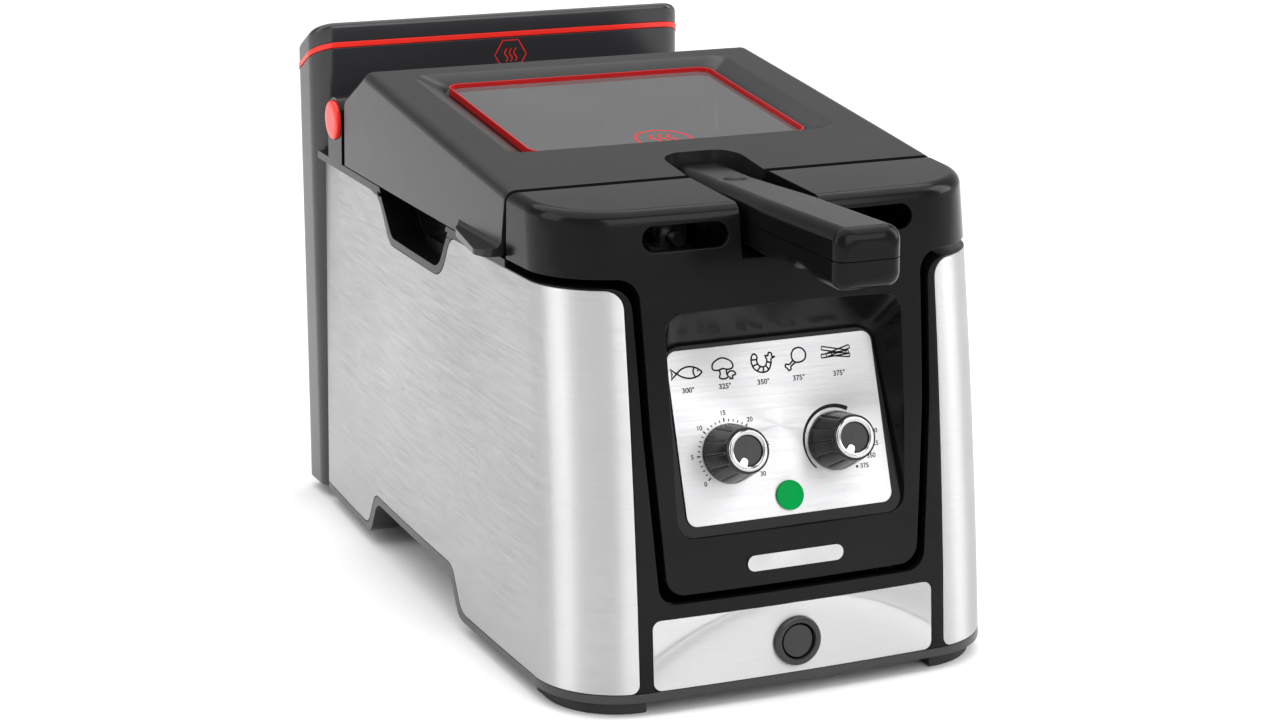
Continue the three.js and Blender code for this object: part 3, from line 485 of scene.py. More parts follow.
def skin_region(grow):
    """What the right-hand steel skin covers, grown all round for the pocket that it sits in."""
    low, top = Z_STEEL_LOW - grow, Z_STEEL_TOP + grow
    rear, sill = BODY_REAR - GAP + grow, NOTCH["z"] + grow
    r = NOTCH_ROUND
    side = filleted([(-FAR, low, 0), *arch_line(grow, grow), (rear, low, 0), (rear, top, 0),
                     (NOTCH["rear_top"] - grow, top, r["rear_top"]),
                     (NOTCH["rear_low"] - grow, sill, r["rear_low"]),
                     (NOTCH["front_low"] + grow, sill, r["front_low"]),
                     (NOTCH["front_top"] + grow, top, r["front_top"]), (-FAR, top, 0)])
    edge = STEEL_EDGE_X - grow
    front = filleted([(edge, low, 5), (FAR, low, 0), (FAR, top, 0), (edge, top, 10)])
    return keep(prism("X", side, 0, FAR), prism("Y", front, -FAR, FAR + BODY_REAR))


def head_outline(inset):
    """The control head seen from the front: a tapering panel with shoulders as wide as the body."""
    shoulder, low, top = LID_BOTTOM + inset, HEAD_LOW + inset, 290
    right = [(75.5 - inset, low, 11), (81.8 - inset, 155, 0), (84.2 - inset, shoulder, 12),
             (FAR, shoulder, 0), (FAR, top, 0)]
    return filleted([(-u, v, r) for u, v, r in reversed(right)] + right)


def hand_hold(grow, top):
    """The hand-hold's outline in the body's side, a border's width inside the notch in the steel."""
    border = NOTCH["border"]
    sill = NOTCH["z"] + border - grow
    return filleted([(NOTCH["front_top"] + border - grow, top, 0),
                     (NOTCH["front_low"] + border - grow, sill, NOTCH_ROUND["front_low"] - border),
                     (NOTCH["rear_low"] - border + grow, sill, NOTCH_ROUND["rear_low"] - border),
                     (NOTCH["rear_top"] - border + grow, top, 0)])


# ---- Base and housing --------------------------------------------------------------------------

SWITCH = frame_at(front_y(SWITCH_Z), SWITCH_Z, SWITCH_LEAN)
HINGE_AXIS = along_x(HINGE["y"], HINGE["z"])


def switch_hole():
    return rod(BEZEL_R - 1 + GAP, -15, 15, SWITCH)


def strip_outline(grow):
    half = STRIP["half"] + grow
    return rounded(-half, half, STRIP["low"] - grow, STRIP["high"] + grow, 5)


def make_ear():
    """The right-hand ear that holds the hinge pin and its release button."""
    half = EAR["half"]
    front, rear = HINGE["y"] - half, HINGE["y"] + half
    foot, top, radius = Z_RIM - 2, HINGE["z"] + half, half - 0.1
    outline = filleted([(front, foot, 0), (rear, foot, 0), (rear, top, radius), (front, top, radius)])
    ear = keep(prism("X", outline, EAR["inner"], FAR), block(0, RIM_BOW))
    seat_floor = BUTTON["face"] - BUTTON["thick"] - BUTTON["travel"] - GAP
    return cut(ear, rod(BUTTON["r"] + GAP, seat_floor, FAR, HINGE_AXIS),
               rod(PIN_BORE, EAR["inner"] - 2, FAR, HINGE_AXIS))


def make_housing():
    sides = filleted([(-FAR, Z_STEEL_LOW, 0), *arch_line(0, 0), (BODY_REAR, Z_STEEL_LOW, 0),
                      (BODY_REAR, Z_STEEL_TOP, 0), (-FAR, Z_STEEL_TOP, 0)])
    housing = keep(block(), prism("X", sides, -FAR, FAR))
    join(housing, keep(block(0, RIM_BOW), box(-FAR, FAR, -FAR, BODY_REAR, Z_STEEL_TOP - 1, Z_RIM)))
    cut(housing, keep(block(SKIN + GAP + WALL), box(-FAR, FAR, -FAR, BODY_REAR - WALL, 0, DECK[0])))

    liner = keep(prism("X", hand_hold(WALL, Z_RIM), HOLD_X - WALL, FAR), block(1))
    pocket = join(prism("X", hand_hold(0, Z_RIM - 3.5), HOLD_X, FAR),
                  cut(prism("X", hand_hold(0, Z_RIM + 5), HOLD_X, FAR), block(7)))
    ledge = keep(prism("X", [(150, 209), (206, 209), (206, 213), (150, 213)], HOLD_X, HOLD_X + 4), block(1))
    join(housing, *both_sides(liner))
    cut(housing, *both_sides(pocket))
    join(housing, *both_sides(ledge))

    half, lip = BOWL["half"], BOWL["lip"] + 1.5
    hole = rounded(-half - 1, half + 1, BOWL["front"] - 1, BOWL["rear"] + 1, BOWL["corner"])
    shelf = rounded(-half - lip, half + lip, BOWL["front"] - lip, BOWL["rear"] + lip, BOWL["corner"] + 4)
    cut(housing, prism("Z", hole, DECK[0] - 1, Z_RIM), prism("Z", shelf, DECK[1], Z_RIM + 1))
    cut(housing, prism("Y", head_outline(-4.6), -FAR, SEAM_Y))

    join(housing, *both_sides(make_ear()))
    pocket = keep(band(-20, SKIN + GAP), skin_region(GAP))
    strip = keep(band(-20, SKIN + GAP), prism("Y", strip_outline(GAP), -FAR, 0))
    cut(housing, *both_sides(pocket), strip, switch_hole())
    return housing


def make_base_tray():
    upper = [(-FAR, Z_STEEL_LOW - GAP, 0), *arch_line(GAP, GAP), (BODY_REAR, Z_STEEL_LOW - GAP, 0)]
    lower = [(-FAR, Z_BASE, 0), *arch_line(GAP + 5, 5 - GAP), (BODY_REAR, Z_BASE, 0)]
    tray = keep(prism("X", filleted(lower + upper[::-1]), -FAR, FAR), block())
    for x, y in SCREWS:
        cut(tray, rod(2.3, 0, 20, at(x, y)), rod(4.3, 0, Z_BASE + 2.8, at(x, y)))
    return tray


def make_skin():
    return keep(band(0, SKIN), skin_region(0))


def make_front_strip():
    return cut(keep(band(0, SKIN), prism("Y", strip_outline(0), -FAR, 0)), switch_hole())


def make_front_foot():
    foot = keep(band(6, 24), box(87, FAR, -FAR, -8, 0, Z_BASE - GAP))
    return round_edges(foot, 1.2, lambda e, a, b: min(a.normal.z, b.normal.z) < -0.9, 3)


def make_rear_foot():
    top = Z_BASE - GAP
    return turned([(0, 0), (9.4, 0), (10.4, 0.5), (11, 1.6), (11, top), (0, top)], at(95, 345))


# ---- Power switch ------------------------------------------------------------------------------

def make_bezel():
    r = BEZEL_R
    return turned([(10, -9), (r - 1, -9), (r - 1, GAP), (r, GAP), (r, 1.4), (r - 0.3, 2.3), (r - 1.2, 2.9),
                   (11.2, 3), (10.4, 2.8), (10, 2.2), (10, -9)], SWITCH, 96)


def make_rocker():
    """Two flat halves that meet at a shallow upright ridge, in a round outline."""
    disc = turned([(0, -5), (8.7, -5), (9.2, 4), (0, 4)], SWITCH, 96)
    tilt = math.tan(math.radians(7))
    above = prism("Y", [(-12, 2.2 - 2 * tilt), (0, 2.2), (12, 2.2 - 12 * tilt), (12, 9), (-12, 9)], -12, 12)
    return cut(disc, moved(above, SWITCH))


# ---- Control head ------------------------------------------------------------------------------

PANEL_FRAME = frame_at(PANEL["y"], PANEL["z"], PANEL["lean"])


def head_block(inset):
    back, low_back = (FAR, FAR) if inset else (SEAM_Y - SEAM_GAP, HEAD_BACK)
    top = HEAD_TOP_FRONT - inset
    side = filleted([(-FAR, 0, 0), (low_back, 0, 0), (low_back, LID_BOTTOM, 0), (back, LID_BOTTOM, 0),
                     (back, SEAM_TOP - inset, 0), (front_y(HEAD_TOP_FRONT), top, 0), (-FAR, top, 0)])
    outline = prism("Y", head_outline(inset), -FAR, FAR / 2)
    return keep(block(inset, RIM_BOW), outline, prism("X", side, -FAR, FAR))


def edge_facts(edge, a, b):
    """An edge's middle, and how much its two faces look up: the most and the least."""
    middle = (edge.verts[0].co + edge.verts[1].co) / 2
    return middle, max(a.normal.z, b.normal.z), min(abs(a.normal.z), abs(b.normal.z))


def is_head_rim(edge, a, b):
    """The edges between the head's top and its upright sides, in front of the seam."""
    middle, high, low = edge_facts(edge, a, b)
    return middle.z > TOP_EDGES_Z and high > 0.8 and low < 0.5 and middle.y < SEAM_Y - 1


def recess(grow):
    """The hollow in front of the panel: its walls close in towards the panel plane."""
    low, high = RECESS["low"] - grow, RECESS["high"] + grow
    half_low, half_top = RECESS["half_low"] + grow, RECESS["half_top"] + grow
    outline = filleted([(-half_low, low, 10), (half_low, low, 10),
                        (half_top, high, 11), (-half_top, high, 11)])
    mouth, reach, base = -51, 22, RECESS["low"]
    rings = []
    for y in (-81, -17):
        depth = (y - mouth) / reach
        rings.append([(x * (1 - 0.12 * depth), y, base + (z - base) * (1 - 0.2 * depth))
                      for x, z in outline])
    above = moved(box(-FAR, FAR, -FAR, FAR, -PANEL["thick"] - GAP - grow, FAR), PANEL_FRAME)
    return keep(loft(rings), above)


def vent(sign):
    r = (VENT["high"] - VENT["low"]) / 2 - 0.05
    a, b = sorted((sign * VENT["inner"], sign * VENT["outer"]))
    return prism("Y", rounded(a, b, VENT["low"], VENT["high"], r), -FAR, -12)


def make_head():
    outer = round_edges(head_block(0), TOP_ROUND, is_head_rim)
    spare, other = copied(outer), copied(outer)
    half = SLOT["half"]
    head = cut(outer, head_block(3))
    slot_liner = box(-half - WALL, half + WALL, -FAR, FAR, SLOT["floor"] - WALL, FAR)
    join(head, keep(slot_liner, spare), keep(recess(3), other))
    cut(head, recess(0), box(-half, half, -FAR, FAR, SLOT["floor"], FAR), vent(-1), vent(1))
    for x in (-KNOB_X, KNOB_X):
        cut(head, rod(6, -12, 5, PANEL_FRAME @ at(x, KNOB_V)))
    return cut(head, rod(7.9, -12, 5, PANEL_FRAME @ at(0, LENS_V)))


def make_panel_plate():
    plate = prism("Z", rounded(-PANEL["half"], PANEL["half"], 0, PANEL["length"], 6), -PANEL["thick"], 0)
    for x in (-KNOB_X, KNOB_X):
        cut(plate, rod(4, -5, 5, at(x, KNOB_V)))
    cut(plate, rod(7.6, -5, 5, at(0, LENS_V)))
    return moved(plate, PANEL_FRAME)


def make_lens():
    return turned([(0, -7), (7.3, -7), (7.3, GAP), (8.2, GAP), (8.2, 1), (8, 1.4), (7.5, 1.65), (5, 1.85),
                   (2.5, 1.97), (0, 2)], PANEL_FRAME @ at(0, LENS_V), 96)


def make_knob(x):
    """A tapered skirt with narrow flutes, a rim round the ring's groove and a sunk disc."""
    base, top, height, flutes, flute_depth = 16.5, 12.6, KNOB_HEIGHT, 12, 0.75
    place = PANEL_FRAME @ at(x, KNOB_V)
    skirt = [(1, 0), (1.6, 0.2), (3, 0.6)]
    skirt += [(3 + (height - 5.2) * k / 10, 1) for k in range(1, 10)]
    skirt += [(height - 2.2, 0.5), (height - 1.6, 0)]
    levels = [(3.6, 13, 0), (3.6, 1, 0)]
    for level, depth in skirt:
        taper = ((level - 1) / (height - 2)) ** 1.15
        levels.append((base + (top - base) * taper, level, depth))
    levels += [(r, level, 0) for r, level in (
        (top + 0.05, height - 1.2), (top - 0.1, height - 0.5), (top - 0.5, height), (11.8, height),
        (11.8, height - 2), (8.3, height - 2), (8.3, height - 0.9), (7.7, height - 0.55), (1, height - 0.75))]
    rings = []
    for radius, level, depth in levels:
        ring = []
        for turn in full_turn(18 * flutes):
            r = radius - flute_depth * depth * max(0.0, math.cos(turn * flutes)) ** 10
            ring.append(place @ Vector((r * math.cos(turn), r * math.sin(turn), level)))
        rings.append(ring)
    return loft(rings)


def make_knob_ring(x):
    """The bright ring: two flat chamfers, with a drop-shaped pointer reaching in at seven o'clock."""
    top = KNOB_HEIGHT
    place = PANEL_FRAME @ at(x, KNOB_V)
    ring = turned([(8.6, top - 1.7), (11.5, top - 1.7), (11.5, top), (11.2, top + 0.45), (10.5, top + 0.95),
                   (10.1, top + 1), (9, top + 0.5), (8.6, top + 0.1), (8.6, top - 1.7)], place, 120)
    drop = filleted([(4.6, -1.7, 1.65), (4.6, 1.7, 1.65), (9.6, 2.7, 0), (9.6, -2.7, 0)])
    pointer = prism("Z", drop, top - 0.6, top + 0.35)
    return join(ring, moved(pointer, place @ Matrix.Rotation(math.radians(-120), 4, "Z")))


def make_badge():
    """A plain pill-shaped badge, low on the head's front."""
    badge = prism("Z", rounded(-29, 29, -4.5, 4.5, 4.4), GAP, 1.2)
    return moved(badge, frame_at(front_y(78), 78, 4.8))


# ---- Heating, bowl and basket ------------------------------------------------------------------

def make_element():
    """One bent tube: over the bowl's front wall, down, and round its floor in a wide loop."""
    leg_x, leg_y, half = ELEMENT["leg_x"], ELEMENT["leg_y"], ELEMENT["half"]
    over, low = ELEMENT["over"], ELEMENT["low"]
    right = [(leg_x, 6, over), (leg_x, leg_y, over), (leg_x, leg_y, low), (half, 72, low),
             (half, ELEMENT["rear"], low)]
    route = right + [(-x, y, z) for x, y, z in reversed(right)]
    return swept(bent(route, 14, 8), ELEMENT["r"], 20)


def make_bowl():
    """A drawn steel bowl: a rounded floor, upright walls and a rolled lip on the deck."""
    half, low, wall, lip = BOWL["half"], BOWL["low"], BOWL["wall"], BOWL["lip"]
    floor_round = 14

    def outline(grow):
        return rounded(-half - grow, half + grow, BOWL["front"] - grow, BOWL["rear"] + grow,
                       BOWL["corner"] + grow)

    def walls(inset, floor):
        radius = floor_round - inset
        return [level_ring(outline(-inset - radius * (1 - math.sin(turn))),
                           floor + radius * (1 - math.cos(turn))) for turn in quarter(6)]

    top = DECK[1] + GAP
    rim = [(0, 0), (lip - 0.6, 0), (lip, 0.5), (lip, 1.1), (lip - 0.6, 1.6), (-wall + 0.7, 1.6), (-wall, 0.9)]
    edge = [level_ring(outline(grow), top + rise) for grow, rise in rim]
    return loft(walls(0, low) + edge + walls(wall, low + wall)[::-1])


def make_basket():
    """A wire basket: a heavy top frame, a light foot frame and a mesh of square openings."""
    half, front, rear, low, high = (BASKET[k] for k in ("half", "front", "rear", "low", "high"))
    wire, pitch, taper = 0.8, 9, 6

    def loop(z, radius):
        inset = wire + taper * (high - z) / (high - low)
        outline = rounded(-half + inset, half - inset, front + inset, rear - inset, 16)
        return swept(level_ring(outline, z), radius, 8, closed=True)

    def rows(start, end):
        count = round((end - start) / pitch)
        return [start + (end - start) * k / count for k in range(1, count)]

    def steps(start, end):
        start, end = start + 1.2, end - 1.2
        return [(start, top), (start + taper, floor), (end - taper, floor), (end, top)]

    floor, top = low + 1.2, high - 2
    parts = [loop(top, 2), loop(floor + 1, 1.2)]
    parts += [loop(z, wire) for z in rows(floor, top)]
    routes = [[(x * (1 - (0.06 if z == floor else 0)), y, z) for y, z in steps(front, rear)]
              for x in rows(-half + 6, half - 6)]
    routes += [[(x, y, z) for x, z in steps(-half, half)] for y in rows(front + 6, rear - 6)]
    parts += [swept(bent(route, 8, 4), wire, 6) for route in routes]
    return gathered(parts)


def make_bracket():
    """The bent strip that carries the basket on the handle's tongue."""
    back = BASKET["front"] - GAP
    plate = prism("Y", rounded(-12, 12, 150, 260, 3), back - 2.5, back)
    for z in (165, 190):
        cut(plate, rod(3, -30, 30, frame_at(back, z, 0), 32))
    half = TONGUE["half"]
    return join(plate, box(-half, half, TONGUE["front"], back, TONGUE["low"], TONGUE["high"]))


# ---- Handle ------------------------------------------------------------------------------------

def clamped(t):
    """t held between 0 and 1."""
    return max(0.0, min(1.0, t))


def handle_top(y):
    """The top rises slightly from the button to the tip."""
    return 272.8 + 4.8 * clamped((16 - y) / 163) ** 0.8


def handle_bottom(y):
    """The underside, with two hollows for the fingers."""
    scallops = 4.3 * math.exp(-((y + 104) / 8.5) ** 2) + 3.6 * math.exp(-((y + 80) / 8) ** 2)
    return 245.3 + scallops


def handle_half(y):
    t = clamped((y + 60) / 60)
    return HANDLE["half"] + (HANDLE["root_half"] - HANDLE["half"]) * t * t * (3 - 2 * t)


def handle_rings(length_steps=60, round_steps=8):
    """Sections from the tip to the root, drawn in towards each end to round it off."""
    tip, root = HANDLE["tip"], HANDLE["root"]
    tip_r, root_r = 7.5, 9
    stations = [(tip + tip_r * (1 - math.cos(turn)), tip_r * (1 - math.sin(turn)), 1)
                for turn in quarter(round_steps)]
    stations += [(tip + tip_r + (root - tip - tip_r - root_r) * k / length_steps, 0, 1)
                 for k in range(1, length_steps)]
    stations += [(root - root_r * (1 - math.sin(turn)), root_r * (1 - math.cos(turn)), 0.25)
                 for turn in quarter(round_steps)]
    rings = []
    for y, draw, rise in stations:
        half = handle_half(y) - draw
        low, high = handle_bottom(y) + draw * rise, handle_top(y) - draw * rise
        outline = filleted([(-half, low, 6.5), (half, low, 6.5), (half, high, 7.5), (-half, high, 7.5)])
        crown = [(p.x, p.y + (0.7 * (1 - (p.x / half) ** 2) if p.y > 265 else 0)) for p in outline]
        rings.append([(x, y, z) for x, z in crown])
    return rings


def make_handle_upper():
    upper = keep(loft(handle_rings()), box(-FAR, FAR, -FAR, FAR, HANDLE["seam"] + GAP / 2, FAR))
    return cut(upper, rod(HANDLE_BUTTON["r"] + GAP, 268, 300, at(0, HANDLE_BUTTON["y"])))


def make_handle_lower():
    rear = BASKET["front"] - 2.5 - 2 * GAP
    lower = keep(loft(handle_rings()), box(-FAR, FAR, -FAR, rear, 0, HANDLE["seam"] - GAP / 2))
    half, low, high = TONGUE["half"] + GAP, TONGUE["low"] - GAP, TONGUE["high"] + GAP
    return cut(lower, box(-half, half, TONGUE["front"] - GAP, FAR, low, high))


def make_handle_button():
    r = HANDLE_BUTTON["r"]
    profile = [(0, 270.6), (r, 270.6), (r, 272.9), (5.6, 273.5), (4.6, 274), (2.5, 274.3), (0, 274.4)]
    return turned(profile, at(0, HANDLE_BUTTON["y"]), 64)


# ---- Lid ---------------------------------------------------------------------------------------

LID_FRAME = Matrix.Translation((0, SEAM_Y + 0.2, SEAM_TOP)) @ Matrix.Rotation(LID_TILT, 4, "X")


def on_lid(outline, low, high):
    return moved(prism("Z", outline, low, high), LID_FRAME)


def lid_side():
    hinge_y, hinge_z, r = HINGE["y"], HINGE["z"], HINGE["r"]
    arc = []
    for k in range(17):
        turn = math.radians(-10.8 - 79.2 * k / 16)
        arc.append((hinge_y + r * math.cos(turn), hinge_z + r * math.sin(turn), 0))
    return filleted([(35, LID_BOTTOM, 0), (SEAM_Y + 0.5, SEAM_TOP, 0), (*LID_REAR, 6), *arc,
                     (hinge_y, LID_BOTTOM, 0)])


def lid_cavity():
    back = HINGE["y"] - 12
    return filleted([(38, 0, 0), (SEAM_Y + 3.7, SEAM_TOP - 3.3, 0), (LID_REAR[0], LID_REAR[1] - 3.4, 0),
                     (back, 271, 0), (back, 0, 0)])


def window_outline(grow, radius=8):
    half = WINDOW["half"] + grow
    return rounded(-half, half, WINDOW["front"] - grow, WINDOW["rear"] + grow, radius)


def window_well():
    """The hollow over the window: flat at the glass, then a bank that runs out softly into the lid's top."""
    middle = (WINDOW["front"] + WINDOW["rear"]) / 2
    rings = []
    bank = [(0, 0), (0.02, 0.06), (0.1, 0.3), (0.3, 0.52), (0.6, 0.76), (0.85, 0.93), (1, 1), (1.3, 1.06)]
    for share, rise in bank:
        ring = []
        for p in window_outline(3, 9):
            lengthwise = 12 if p.y > middle else -5
            ring.append((p.x + math.copysign(15 * share, p.x), p.y + lengthwise * share,
                         WINDOW["depth"] * (rise - 1) + (1.5 if share > 1 else 0)))
        rings.append(ring)
    return moved(loft(rings), LID_FRAME)


def lid_notch(grow):
    half, end = SLOT["half"] - 0.4 + grow, NOTCH_END + grow
    return filleted([(-half, -20, 0), (half, -20, 0), (half, end, 15 + grow), (-half, end, 15 + grow)])


def make_lift_tab():
    """The lip that the fingers lift: its top falls away outwards from a ridge along the lid's side."""
    outline = filleted([(120, 33, 0), (140.5, 33, 5), (144, 44, 9), (137, 92, 12), (131, 101, 3),
                        (120, 101, 0)])
    ridge, top = 131.5, 244.8
    section = filleted([(120, LID_BOTTOM, 0), (146, LID_BOTTOM, 0), (146, 240.6, 0), (ridge + 2.4, 242.9, 2),
                        (ridge + 0.6, top, 0.8), (ridge - 1.5, top, 0), (120, top, 0)])
    return keep(prism("Z", outline, LID_BOTTOM, top), prism("Y", section, 30, 104))


def is_lid_rim(edge, a, b):
    """The edges between the lid's top, or its rear slope, and its upright sides."""
    middle, high, low = edge_facts(edge, a, b)
    return middle.z > TOP_EDGES_Z and high > 0.75 and low < 0.45 and abs(middle.x) > 100


def make_lid_shell():
    outer = round_edges(keep(block(0, RIM_BOW), prism("X", lid_side(), -FAR, FAR)), TOP_ROUND, is_lid_rim)
    spare, other = copied(outer), copied(outer)
    lid = cut(outer, keep(block(3, RIM_BOW), prism("X", lid_cavity(), -FAR, FAR)))
    well_block = on_lid(rounded(-106, 106, WINDOW["front"] - 10, WINDOW["rear"] + 17, 8),
                        -WINDOW["depth"] - 3, -1)
    join(lid, keep(well_block, spare))
    tab = make_lift_tab()
    cut(tab, keep(block(2, RIM_BOW), box(-FAR, FAR, 0, FAR, 0, FAR)))
    join(lid, *both_sides(tab))
    join(lid, keep(prism("Z", lid_notch(2.6), 253, FAR), other))
    cut(lid, prism("Z", lid_notch(0), 0, FAR), window_well(), on_lid(window_outline(-3.2), -20, 5))
    ear_room = box(EAR["inner"] - GAP, FAR, HINGE["y"] - EAR["half"] - 6, FAR, 0, FAR)
    pin_bore = rod(PIN_BORE, 84, FAR, HINGE_AXIS)
    leg_room = box(ELEMENT["leg_x"] - 12, ELEMENT["leg_x"] + 8, 0, 45, 0, ELEMENT["over"] + 7)
    for room in (ear_room, pin_bore, leg_room):
        cut(lid, *both_sides(room))
    return cut(lid, box(-50, 50, HINGE["y"] - 20, FAR, 245, 259))


def make_glass():
    seat = -WINDOW["depth"] + GAP
    return on_lid(window_outline(-0.2, 7), seat, seat + WINDOW["glass"])


def make_window_trim():
    ring = on_lid(window_outline(1.1, 8.3), -WINDOW["depth"] + GAP, WINDOW["trim_top"])
    return cut(ring, on_lid(window_outline(0.2, 7.4), -20, 5))


def make_liner():
    plate = on_lid(rounded(-118, 118, 10, 236, 14), -15.2, -14)
    return cut(plate, on_lid(window_outline(-6), -20, 0), prism("Z", lid_notch(5), 0, FAR))


def make_lid_seal():
    seal = keep(band(3.4, 8, RIM_BOW), box(-FAR, FAR, 40, 300, LID_BOTTOM, LID_BOTTOM + 4.5))
    return join(seal, box(-124, 124, 295, 300, LID_BOTTOM, LID_BOTTOM + 4.5))


def make_release_button():
    face, r, back = BUTTON["face"], BUTTON["r"], BUTTON["face"] - BUTTON["thick"]
    profile = [(0, face - 9.8), (2.9, face - 9.8), (2.9, back), (r, back), (r, face - 1.6),
               (r - 0.4, face - 0.9), (r - 1.3, face - 0.45), (r * 0.6, face - 0.12), (0, face)]
    return turned(profile, HINGE_AXIS, 96)


def make_hinge_pin():
    end = BUTTON["face"] - 10.1
    profile = [(0, 100), (2.4, 100), (3, 100.6), (3, end - 0.6), (2.4, end), (0, end)]
    return turned(profile, HINGE_AXIS, 40)


def make_pin_spring():
    turns, steps = 6, 24
    route = []
    for k in range(turns * steps + 1):
        angle = 2 * math.pi * k / steps
        route.append((85.4 + 9.4 * k / (turns * steps), HINGE["y"] + 2.4 * math.cos(angle),
                      HINGE["z"] + 2.4 * math.sin(angle)))
    return swept(route, 0.4, 6)


# ---- Filter tower ------------------------------------------------------------------------------

def tower_outline(inset):
    half = TOWER["half"] - inset
    return rounded(-half, half, TOWER["front"] + inset, TOWER["rear"] - inset, TOWER["corner"] - inset)


def sloped(thing):
    """Slides each point down in proportion to its distance behind the tower's front."""
    drop = Matrix.Identity(4)
    drop[2][1] = -TOWER["slope"]
    drop[2][3] = TOWER["slope"] * TOWER["front"]
    return moved(thing, drop)


def filter_top(rear):
    """How high a filter that reaches back to rear may stand under the sloping top."""
    return TOWER["top"] - TOWER["slope"] * (rear - TOWER["front"]) - 1.5


def row_of_slots(count, pitch, outline, front, rear):
    """Tools for a row of upright slots about the middle. Their outline is (half, low, high, radius)."""
    half, low, high, radius = outline
    middles = [(i - (count - 1) / 2) * pitch for i in range(count)]
    return [prism("Y", rounded(x - half, x + half, low, high, radius), front, rear) for x in middles]


GLAND = at(-88, TOWER["rear"], 48) @ Matrix.Rotation(-math.pi / 2, 4, "X")


def make_tower():
    """The tower's shell: open above its filter tray and below it, with exhaust slots at the rear."""
    front, rear, floor, top = (TOWER[k] for k in ("front", "rear", "floor", "top"))
    tower = prism("Z", tower_outline(0), Z_BASE, top)
    cut(tower, sloped(prism("Z", tower_outline(-1), top, FAR)))
    cut(tower, prism("Z", tower_outline(TOWER_WALL), 0, floor),
        prism("Z", tower_outline(TOWER_WALL), floor + 3, FAR), box(-50, 50, front - 5, front + 6, 256, 270))
    cut(tower, *row_of_slots(12, 11, (1.8, 256, 273, 1.7), rear - 6, rear + 5))
    return cut(tower, rod(9.3, -10, 5, GLAND))


def make_gland():
    return turned([(4, -8), (11, -8), (11, -3.8), (9, -3.8), (9, -0.8), (8.4, -0.1), (5.4, 0), (4.4, -0.6),
                   (4, -1.6), (4, -8)], GLAND)


def make_trim_ring():
    outer = sloped(prism("Z", tower_outline(-0.5), TOWER["top"] + GAP, TRIM_TOP))
    return cut(outer, prism("Z", tower_outline(TOWER_WALL), 0, FAR))


def make_cover():
    """The filter cover: a shallow sloping cap with a well-rounded top edge."""
    rings = [level_ring(tower_outline(0), TRIM_TOP + GAP)]
    radius = 5.5
    for turn in quarter(8):
        inset, z = radius * (1 - math.cos(turn)), COVER_TOP - radius * (1 - math.sin(turn))
        rings.append(level_ring(tower_outline(inset), z))
    return sloped(cut(loft(rings), prism("Z", tower_outline(3.8), 0, COVER_TOP - 3)))


def make_foam():
    """A slab of open-cell foam: soft edges and a slightly uneven face."""
    slab = box(-112, 112, 378.9, 385.9, 253.4, filter_top(386) - 0.1)
    shape = bmesh.new()
    shape.from_mesh(slab.data)
    bmesh.ops.bevel(shape, geom=shape.edges[:], offset=1.4, segments=3, affect="EDGES", profile=0.5)
    long_edges = [e for e in shape.edges if e.calc_length() > 20]
    bmesh.ops.subdivide_edges(shape, edges=long_edges, cuts=14, use_grid_fill=True)
    for vertex in shape.verts:
        x, y, z = vertex.co
        ripple = 0.09 * math.sin(x * 0.31 + z * 0.17) + 0.07 * math.sin(x * 0.83 - z * 0.47)
        vertex.co.y -= ripple if y < 382 else -ripple - 0.1
    shape.to_mesh(slab.data)
    shape.free()
    return slab


# ---- Small hardware ----------------------------------------------------------------------------

def make_screw(x, y):
    """A pan-head screw, driven in from below, with a cross recess."""
    low, head, shank, top = Z_BASE, 4, 2, 30.2
    screw = turned([(0, low), (2.6, low), (3.5, low + 0.4), (head, low + 1.3), (head, low + 2.5),
                    (shank, low + 2.5), (shank, top - 1.5), (0.6, top), (0, top)], at(x, y), 40)
    for turn in (0, math.pi / 2):
        blade = prism("Z", rounded(-2.2, 2.2, -0.45, 0.45, 0.3), low - 1, low + 1.5)
        cut(screw, moved(blade, at(x, y) @ Matrix.Rotation(turn + 0.5, 4, "Z")))
    return screw


def make_grille():
    """The grille in front of the filters: a thin plate with a row of slots."""
    front = TOWER["front"] + 4.1
    grille = box(-116, 116, front, front + 2.2, TOWER["floor"] + 3.3, filter_top(front + 2.2))
    return cut(grille, *row_of_slots(14, 7, (1.7, 257, 269, 1.6), front - 1, front + 4))


def make_carbon():
    """The carbon cartridge: a block with a row of shallow pockets on each face."""
    front, rear = TOWER["front"] + 14.3, TOWER["rear"] - 15
    low, high = TOWER["floor"] + 3.3, filter_top(rear)
    cartridge = box(-112, 112, front, rear, low, high)
    pocket = (10.5, low + 4, high - 4, 2)
    return cut(cartridge, *row_of_slots(9, 24, pocket, front - 1, front + 2),
               *row_of_slots(9, 24, pocket, rear - 2, rear + 1))


# ---- Printed marks -----------------------------------------------------------------------------

INK = 0.05
LINE = 0.95
SCALE_DIGITS = 2.5
FOOD_DIGITS = 2.8


def printed_section(first, second):
    """The section of a printed line between two points of the local plane, as thick as its ink."""
    return [(*first, 0), (*first, INK), (*second, INK), (*second, 0)]


def ribbon(points, width, closed=False):
    """A flat printed line of even width."""
    points = [Vector(p[:2]) for p in points]
    count = len(points)
    rings = []
    for i, point in enumerate(points):
        before = points[i - 1] if closed or i else point
        after = points[(i + 1) % count] if closed or i < count - 1 else point
        ahead = (after - before).normalized()
        side = Vector((-ahead.y, ahead.x)) * width / 2
        rings.append(printed_section(point + side, point - side))
    return loft(rings, closed)


def on_arc(u, v, radius, degrees):
    turn = math.radians(degrees)
    return u + radius * math.cos(turn), v + radius * math.sin(turn)


def arc(u, v, radius, start, end, steps):
    """Points on an arc, its angles in degrees from local x."""
    return [on_arc(u, v, radius, start + (end - start) * k / steps) for k in range(steps + 1)]


